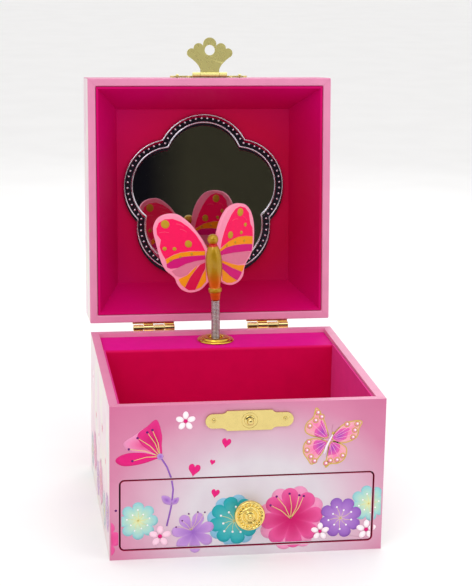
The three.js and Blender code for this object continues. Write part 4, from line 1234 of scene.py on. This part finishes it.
def add_art():
    """Lays the printed motifs on the boards, each inside its own regions (low u, high u, low v, high v)."""
    slot = DRAWER_SLOT + 0.25
    left, right = drawer_low.x, drawer_high.x
    low, high = drawer_low.z, drawer_high.z
    top = rim_z - PRINT_MARGIN
    around_drawer = [
        (-PRINT_EDGE, PRINT_EDGE, high + slot, top),
        (-PRINT_EDGE, left - slot, low - slot, high + slot),
        (right + slot, PRINT_EDGE, low - slot, high + slot),
        (-PRINT_EDGE, PRINT_EDGE, PRINT_MARGIN, low - slot),
    ]
    on_drawer = [(left + 0.3, right - 0.3, low + 0.3, high - 0.3)]
    on_side = [(-PRINT_EDGE, PRINT_EDGE, PRINT_MARGIN, top)]
    lid_edge = half_x - 0.6
    on_lid = [(-lid_edge, lid_edge, -lid_edge, lid_edge)]
    for name, body, motifs, regions, lay in (
        ("front_art", "case", front_art(), around_drawer, lambda u, v, w: (u, -half_y - w, v)),
        ("drawer_art", "drawer", front_art(), on_drawer, lambda u, v, w: (u, -half_y - w, v)),
        ("left_art", "case", side_art(), on_side, lambda u, v, w: (-half_x - w, -u, v)),
        ("lid_art", "lid", lid_art(), on_lid, lambda u, v, w: OPEN_LID @ Vector((u, v, lid_top + w))),
        ("right_art", "case", side_art(), on_side, lambda u, v, w: (half_x + w, u, v)),
    ):
        add_print(name, body, motifs, regions, lay)


# ---- Butterfly ----

BODY_PROFILE = [
    (0, -4.5), (2.0, -4.5), (2.2, -3.0), (2.5, -1.1), (2.9, -0.85), (3.0, -0.4), (3.0, 0.4), (2.85, 0.8),
    (2.4, 1.0),
    (2.5, 2.2), (2.9, 4.5), (3.25, 6.5), (3.5, 8.5), (3.63, 10.6), (3.67, 12.7), (3.5, 15.0), (3.15, 17.2),
    (2.6, 19.0), (2.05, 20.1), (1.75, 20.7), (1.9, 21.3), (2.3, 22.0), (2.45, 22.8), (2.35, 23.6),
    (2.05, 24.3),
    (1.55, 24.85), (1.0, 25.15), (0.5, 25.28), (0, 25.3),
]
BODY_GOLD = srgb(182, 140, 10)
BODY_ORANGE = srgb(222, 110, 10)
BODY_RED = srgb(196, 34, 16)


def body_colour(height):
    if height < -2:
        return lerp(BODY_ORANGE, BODY_RED, 0.35)
    if height < -0.95:
        return BODY_ORANGE
    if 1.0 <= height < 9:
        return lerp(BODY_ORANGE, BODY_GOLD, max(0.0, (height - 3) / 6))
    return BODY_RED if 20.0 < height < 21.5 else BODY_GOLD


def add_body():
    fine = []
    for first, last in zip(BODY_PROFILE, BODY_PROFILE[1:]):
        fine += [lerp(first, last, k / 3) for k in range(3)]
    fine = [fine[0]] + [point for point in fine[1:] if point[0] > 0] + [BODY_PROFILE[-1]]
    body = turned("butterfly_body_turned", fine, "gold_paint", sides=56)
    colour_mesh(body, [body_colour(vertex.co.z / MM) for vertex in body.data.vertices])
    finish_piece(outward(move(body, FIGURE)), "figure", "gold_paint", "butterfly_body")


WING_HALF = 0.9
ENAMEL_HEIGHT = 0.16
HOT_PINK = srgb(248, 6, 92)
BORDER_PINK = srgb(248, 150, 180)
DULL_PINK = srgb(220, 122, 150)
ORANGE = srgb(240, 150, 0)
WING_MAGENTA = srgb(208, 0, 118)
WING_CRIMSON = srgb(212, 0, 70)
DOT_GOLD = srgb(190, 152, 34)

# Each wing as outline, enamel fields with their colours, gold dots (u, v, radius) and raised arcs.
# u runs out from the body and v runs up; the two wings differ a little.
WINGS = {
    "left": (
        [(1.2, 6), (1.2, 16.5), (3, 19.7), (5.1, 23.4), (7.7, 27.1), (10.3, 30.3), (14.7, 33.8),
         (18.4, 34.6),
         (22.1, 34), (24.9, 32.2), (26.6, 28.9), (26.7, 25.7), (25.8, 21.1), (24.8, 16.4), (23.7, 12.2),
         (22, 8.9),
         (19.6, 6.8), (18, 5.2), (17.2, 2.9), (15.4, 0.3), (12.7, -1.1), (9.9, -1.2), (6.6, -0.1),
         (3.7, 2.5)],
        [
            (HOT_PINK, [(3.5, 17.9), (5.1, 21.6), (7.7, 25.7), (10.8, 28.9), (13.9, 31.1), (17.5, 32.4),
                        (21.2, 32.2),
                        (23.9, 30.6), (25.1, 28), (24.9, 25.2), (23.3, 22.9), (24, 19.7), (23.2, 16.9),
                        (21.7, 14.1),
                        (17.9, 16.2), (14.6, 17.3), (9.9, 17.9)]),
            (ORANGE, [(3.5, 17.8), (9.9, 17.7), (14.6, 17.1), (17.9, 16), (21.7, 13.9), (21.2, 11.9),
                      (18, 14),
                      (13.7, 15.2), (9.1, 15.7), (3.6, 16)]),
            (WING_MAGENTA, [(3.6, 15.9), (9.1, 15.6), (13.8, 15.1), (18, 13.9), (21.3, 11.8), (21.1, 10.3),
                            (19.6, 9.7), (16.3, 10.1), (12.5, 12), (8.3, 13.2), (3.6, 14.1)]),
            (DULL_PINK, [(3.6, 14), (8.3, 13.1), (12.5, 11.9), (16.3, 10), (19.2, 8.7), (17.4, 6.6),
                         (15.1, 5.9),
                         (12.3, 7), (9.9, 9.5), (7.4, 11.4), (3.7, 12.8)]),
            (ORANGE, [(7.2, 11.3), (9.6, 9.2), (12.1, 6.8), (14.9, 5.5), (16.2, 4.8), (15.1, 2.5),
                      (13.5, 1.1),
                      (11, 5.7), (8.5, 9)]),
            (WING_CRIMSON, [(3.7, 12.7), (6.1, 11.6), (8.5, 8.8), (11, 5.5), (13.4, 1), (11.7, -0.1),
                            (8.9, 0.1),
                            (7.4, 2.9), (5.3, 7.2), (3.8, 10)]),
            (ORANGE, [(3.6, 9.7), (5.2, 7.1), (7.3, 2.8), (8.7, 0.2), (6.1, 1.3), (3.6, 4.1)]),
        ],
        [(21, 30, 1.95), (10.9, 21.1, 1.65), (17.3, 18.8, 0.9), (21.8, 18.9, 0.95), (9.6, 16.6, 0.6),
         (14.9, 15.2, 0.6), (19.4, 13.6, 0.55)],
        [[(12.6, 28.8), (14, 30), (16, 30.2)], [(11.4, 26.4), (12.6, 27.6), (14.4, 27.8)],
         [(19.6, 26.2), (21.6, 26.8), (24, 26)]],
    ),
    "right": (
        [(1.2, 6), (1.2, 15), (1.4, 20.5), (2.6, 25.5), (4.6, 29.8), (7, 33), (10, 35.4), (13.6, 36.4),
         (17.2, 36.3),
         (21, 35), (23.9, 32), (25.5, 27.5), (25.8, 22.3), (25, 15.8), (22.9, 11.5), (19.8, 8.5),
         (18.5, 6.2),
         (17.2, 2.6), (13.7, 0.5), (8.8, 0.3), (4.2, 2.5)],
        [
            (HOT_PINK, [(3.7, 18.5), (4.8, 22), (6.6, 25.6), (8.6, 28.8), (11.2, 32), (14, 34.3), (17, 35),
                        (20.2, 33.9), (22.4, 31.2), (22.8, 28), (23.1, 26.1), (24.3, 24), (24.4, 20),
                        (20.1, 21),
                        (14.9, 21.5), (9, 20.6)]),
            (ORANGE, [(3, 17.8), (9, 20.5), (14.9, 21.4), (20.1, 20.9), (24.3, 19.9), (24, 16.5),
                      (18.6, 17.5),
                      (12.7, 18.1), (7.5, 18.1), (3.3, 16.9)]),
            (WING_MAGENTA, [(3.3, 16.8), (7.5, 18), (12.7, 18), (18.6, 17.4), (23.9, 16.4), (23.3, 13.4),
                            (17.1, 14.2), (10.6, 14.9), (3.8, 15.2)]),
            (DULL_PINK, [(3.8, 15.1), (10.6, 14.8), (17.1, 14.1), (22.6, 13.2), (20.6, 10.8), (18.4, 8.6),
                         (14.2, 8.9), (9.7, 10.4), (4.1, 12.8)]),
            (ORANGE, [(4.1, 12.7), (9.7, 10.2), (14.2, 8.5), (18.3, 7.8), (17.6, 6.4), (16.6, 5),
                      (10.2, 8.2),
                      (4.2, 11.7)]),
            (WING_MAGENTA, [(4.2, 11.6), (10.2, 8.1), (16.5, 4.9), (15.3, 3.4), (13.3, 1.7), (8.7, 4.7),
                            (4.1, 9)]),
            (ORANGE, [(4.1, 8.9), (8.7, 4.7), (13.1, 1.6), (9.8, 1.3), (6.6, 1.9), (3.9, 3.6)]),
        ],
        [(16.9, 32.4, 1.9), (10.1, 23.2, 1.7), (19.8, 26.2, 0.9), (17, 23.1, 0.85), (7.6, 18.9, 0.6),
         (12.9, 19.4, 0.6), (18.7, 19, 0.6)],
        [[(11.6, 29.4), (13.4, 30.2), (15.2, 29.6)], [(18.6, 30.2), (20, 29.4), (20.8, 28)]],
    ),
}
DOT_LEVELS = [(1.0, 0.0), (0.94, 0.14), (0.75, 0.24), (0.45, 0.3), (0.15, 0.32)]


def add_wing(name):
    """A pink blank with enamel fields, raised arcs and gold dots on both faces."""
    side = 1 if name == "right" else -1
    turn = FIGURE @ Matrix.Rotation(side * WING_SWEEP, 4, "Z")
    outline, fields, dots, arcs = WINGS[name]

    def lay(u, v, w):
        return turn @ Vector((side * u, w, v))

    part = prism_part(smooth_loop(outline, 7), -WING_HALF, WING_HALF, lay)
    blank = solid(f"wing_{name}", [part], "enamel")
    colour_mesh(blank, [BORDER_PINK] * len(part[0]))
    finish_piece(soften(blank, 0.5, 4, 50), "figure", "wing_plastic", f"butterfly_wing_{name}")

    parts = []
    face = WING_HALF + ENAMEL_HEIGHT
    for facing in (-1, 1):
        low, high = sorted((facing * (WING_HALF - 0.1), facing * face))
        for colour, points in fields:
            parts.append((colour, prism_part(points, low, high, lay)))
        for u, v, radius in dots:
            levels = [(radius * share, facing * (face - 0.05 + height)) for share, height in DOT_LEVELS]
            parts.append((DOT_GOLD, dome_part(levels, 20, u, v, lay)))
        for arc in arcs:
            line = [lay(u, v, facing * face) for u, v in bent(arc)]
            parts.append((lerp(HOT_PINK, BORDER_PINK, 0.25), tube(line, 0.13, 6)))
    enamel = solid(f"wing_enamel_{name}", [part for _, part in parts], "enamel")
    colour_mesh(enamel, [colour for colour, part in parts for _ in part[0]])
    finish_piece(soften(enamel, 0.06, 2, 50), "figure", "wing_plastic")


# ---- Movement ----

NOTES = 18
PINS_PER_NOTE = 7
CYLINDER_LENGTH = 18.0
CYLINDER_RADIUS = 6.0


def add_cylinder_pins():
    centre = joint_place("cylinder_spin")
    random.seed(7)
    parts = []
    for note in range(NOTES):
        z = centre.z + (note + 0.5) * CYLINDER_LENGTH / NOTES
        for _ in range(PINS_PER_NOTE):
            angle = random.uniform(0, 2 * pi)
            out = Vector((cos(angle), sin(angle), 0))
            foot = Vector((centre.x, centre.y, z)) + out * (CYLINDER_RADIUS - 0.1)
            parts.append(tube([foot, foot + out * 0.3, foot + out * 0.42], 0.14, 6))
    finish_piece(solid("cylinder_pins", parts, "steel"), "cylinder", "steel")


# ---- CAD nodes that are shown as they are ----

KEPT = {
    "inside_pink": ["bottom_panel", "drawer_left_side", "drawer_right_side", "drawer_back", "drawer_bottom"],
    "riser": ["compartment_floor", "lining_front"],
    # The side linings' magenta is painted sheen on the crimson lining.
    "side_lining": ["lining_left", "lining_right"],
    "flock": ["compartment_liner", "drawer_liner"],
    "lid_lining": ["lid_lining"],
    "gunmetal_foil": ["mirror_frame"],
    "mirror_glass": ["mirror_glass"],
    "pale_gold": ["latch_plate", "winding_key"],
    "olive_brass": ["hasp_plate", "hasp_pin", "hasp_tail"],
    "hinge_gold": [
        f"hinge_{part}_{side}" for part in ("case_leaf", "lid_leaf", "pin") for side in ("left", "right")
    ],
    "cast_zinc": ["movement_bedplate"],
    "steel": ["tone_comb", "comb_screw_lower", "comb_screw_upper", "figure_spindle", "governor_fan",
              "stop_rod"],
    "movement_brass": ["music_cylinder", "spring_barrel"],
}
EDGE_WIDTH = {
    "bottom_panel": 0.4, "mirror_frame": 0.15, "latch_plate": 0.18, "hasp_plate": 0.14, "hasp_tail": 0.12,
    "winding_key": 0.3, "compartment_liner": 0.2, "drawer_liner": 0.2, "movement_bedplate": 0.25,
}
SHARP = ("lid_lining", "mirror_glass")


def dress_nodes():
    """Gives each kept node its material and, unless it stays sharp, rounded edges."""
    for material, names in KEPT.items():
        for name in names:
            obj = nodes[name]
            obj.data.materials.clear()
            obj.data.materials.append(MATERIALS[material])
            weld = obj.modifiers.new("Weld", "WELD")
            weld.merge_threshold = 1e-6
            if name not in SHARP:
                soften(obj, EDGE_WIDTH.get(name, 0.1), 2, 38)


add_camera()
add_stage()
add_case()
add_riser()
add_drawer_front()
add_lid()
add_mirror_trim()
add_latch_stud()
for fitting_side in ("left", "right"):
    add_nail(f"latch_nail_{fitting_side}", "case", "pale_gold")
    add_nail(f"hasp_nail_{fitting_side}", "lid", "olive_brass", OPEN_LID, SHUT)
add_knob()
for fitting_side in ("left", "right"):
    add_screw(f"movement_screw_{fitting_side}", "case", 1.05, [(2.6, -1.4), (2.5, -0.9), (1.7, -0.2)])
add_screw("knob_screw", "drawer", 1.3, [(2.8, -1.6), (2.0, -0.1)])
add_bush()
add_hinge_nails("case", 3)
add_hinge_nails("lid", -3, SHUT, OPEN_LID)
add_spring()
add_art()
add_body()
add_wing("left")
add_wing("right")
add_cylinder_pins()
dress_nodes()
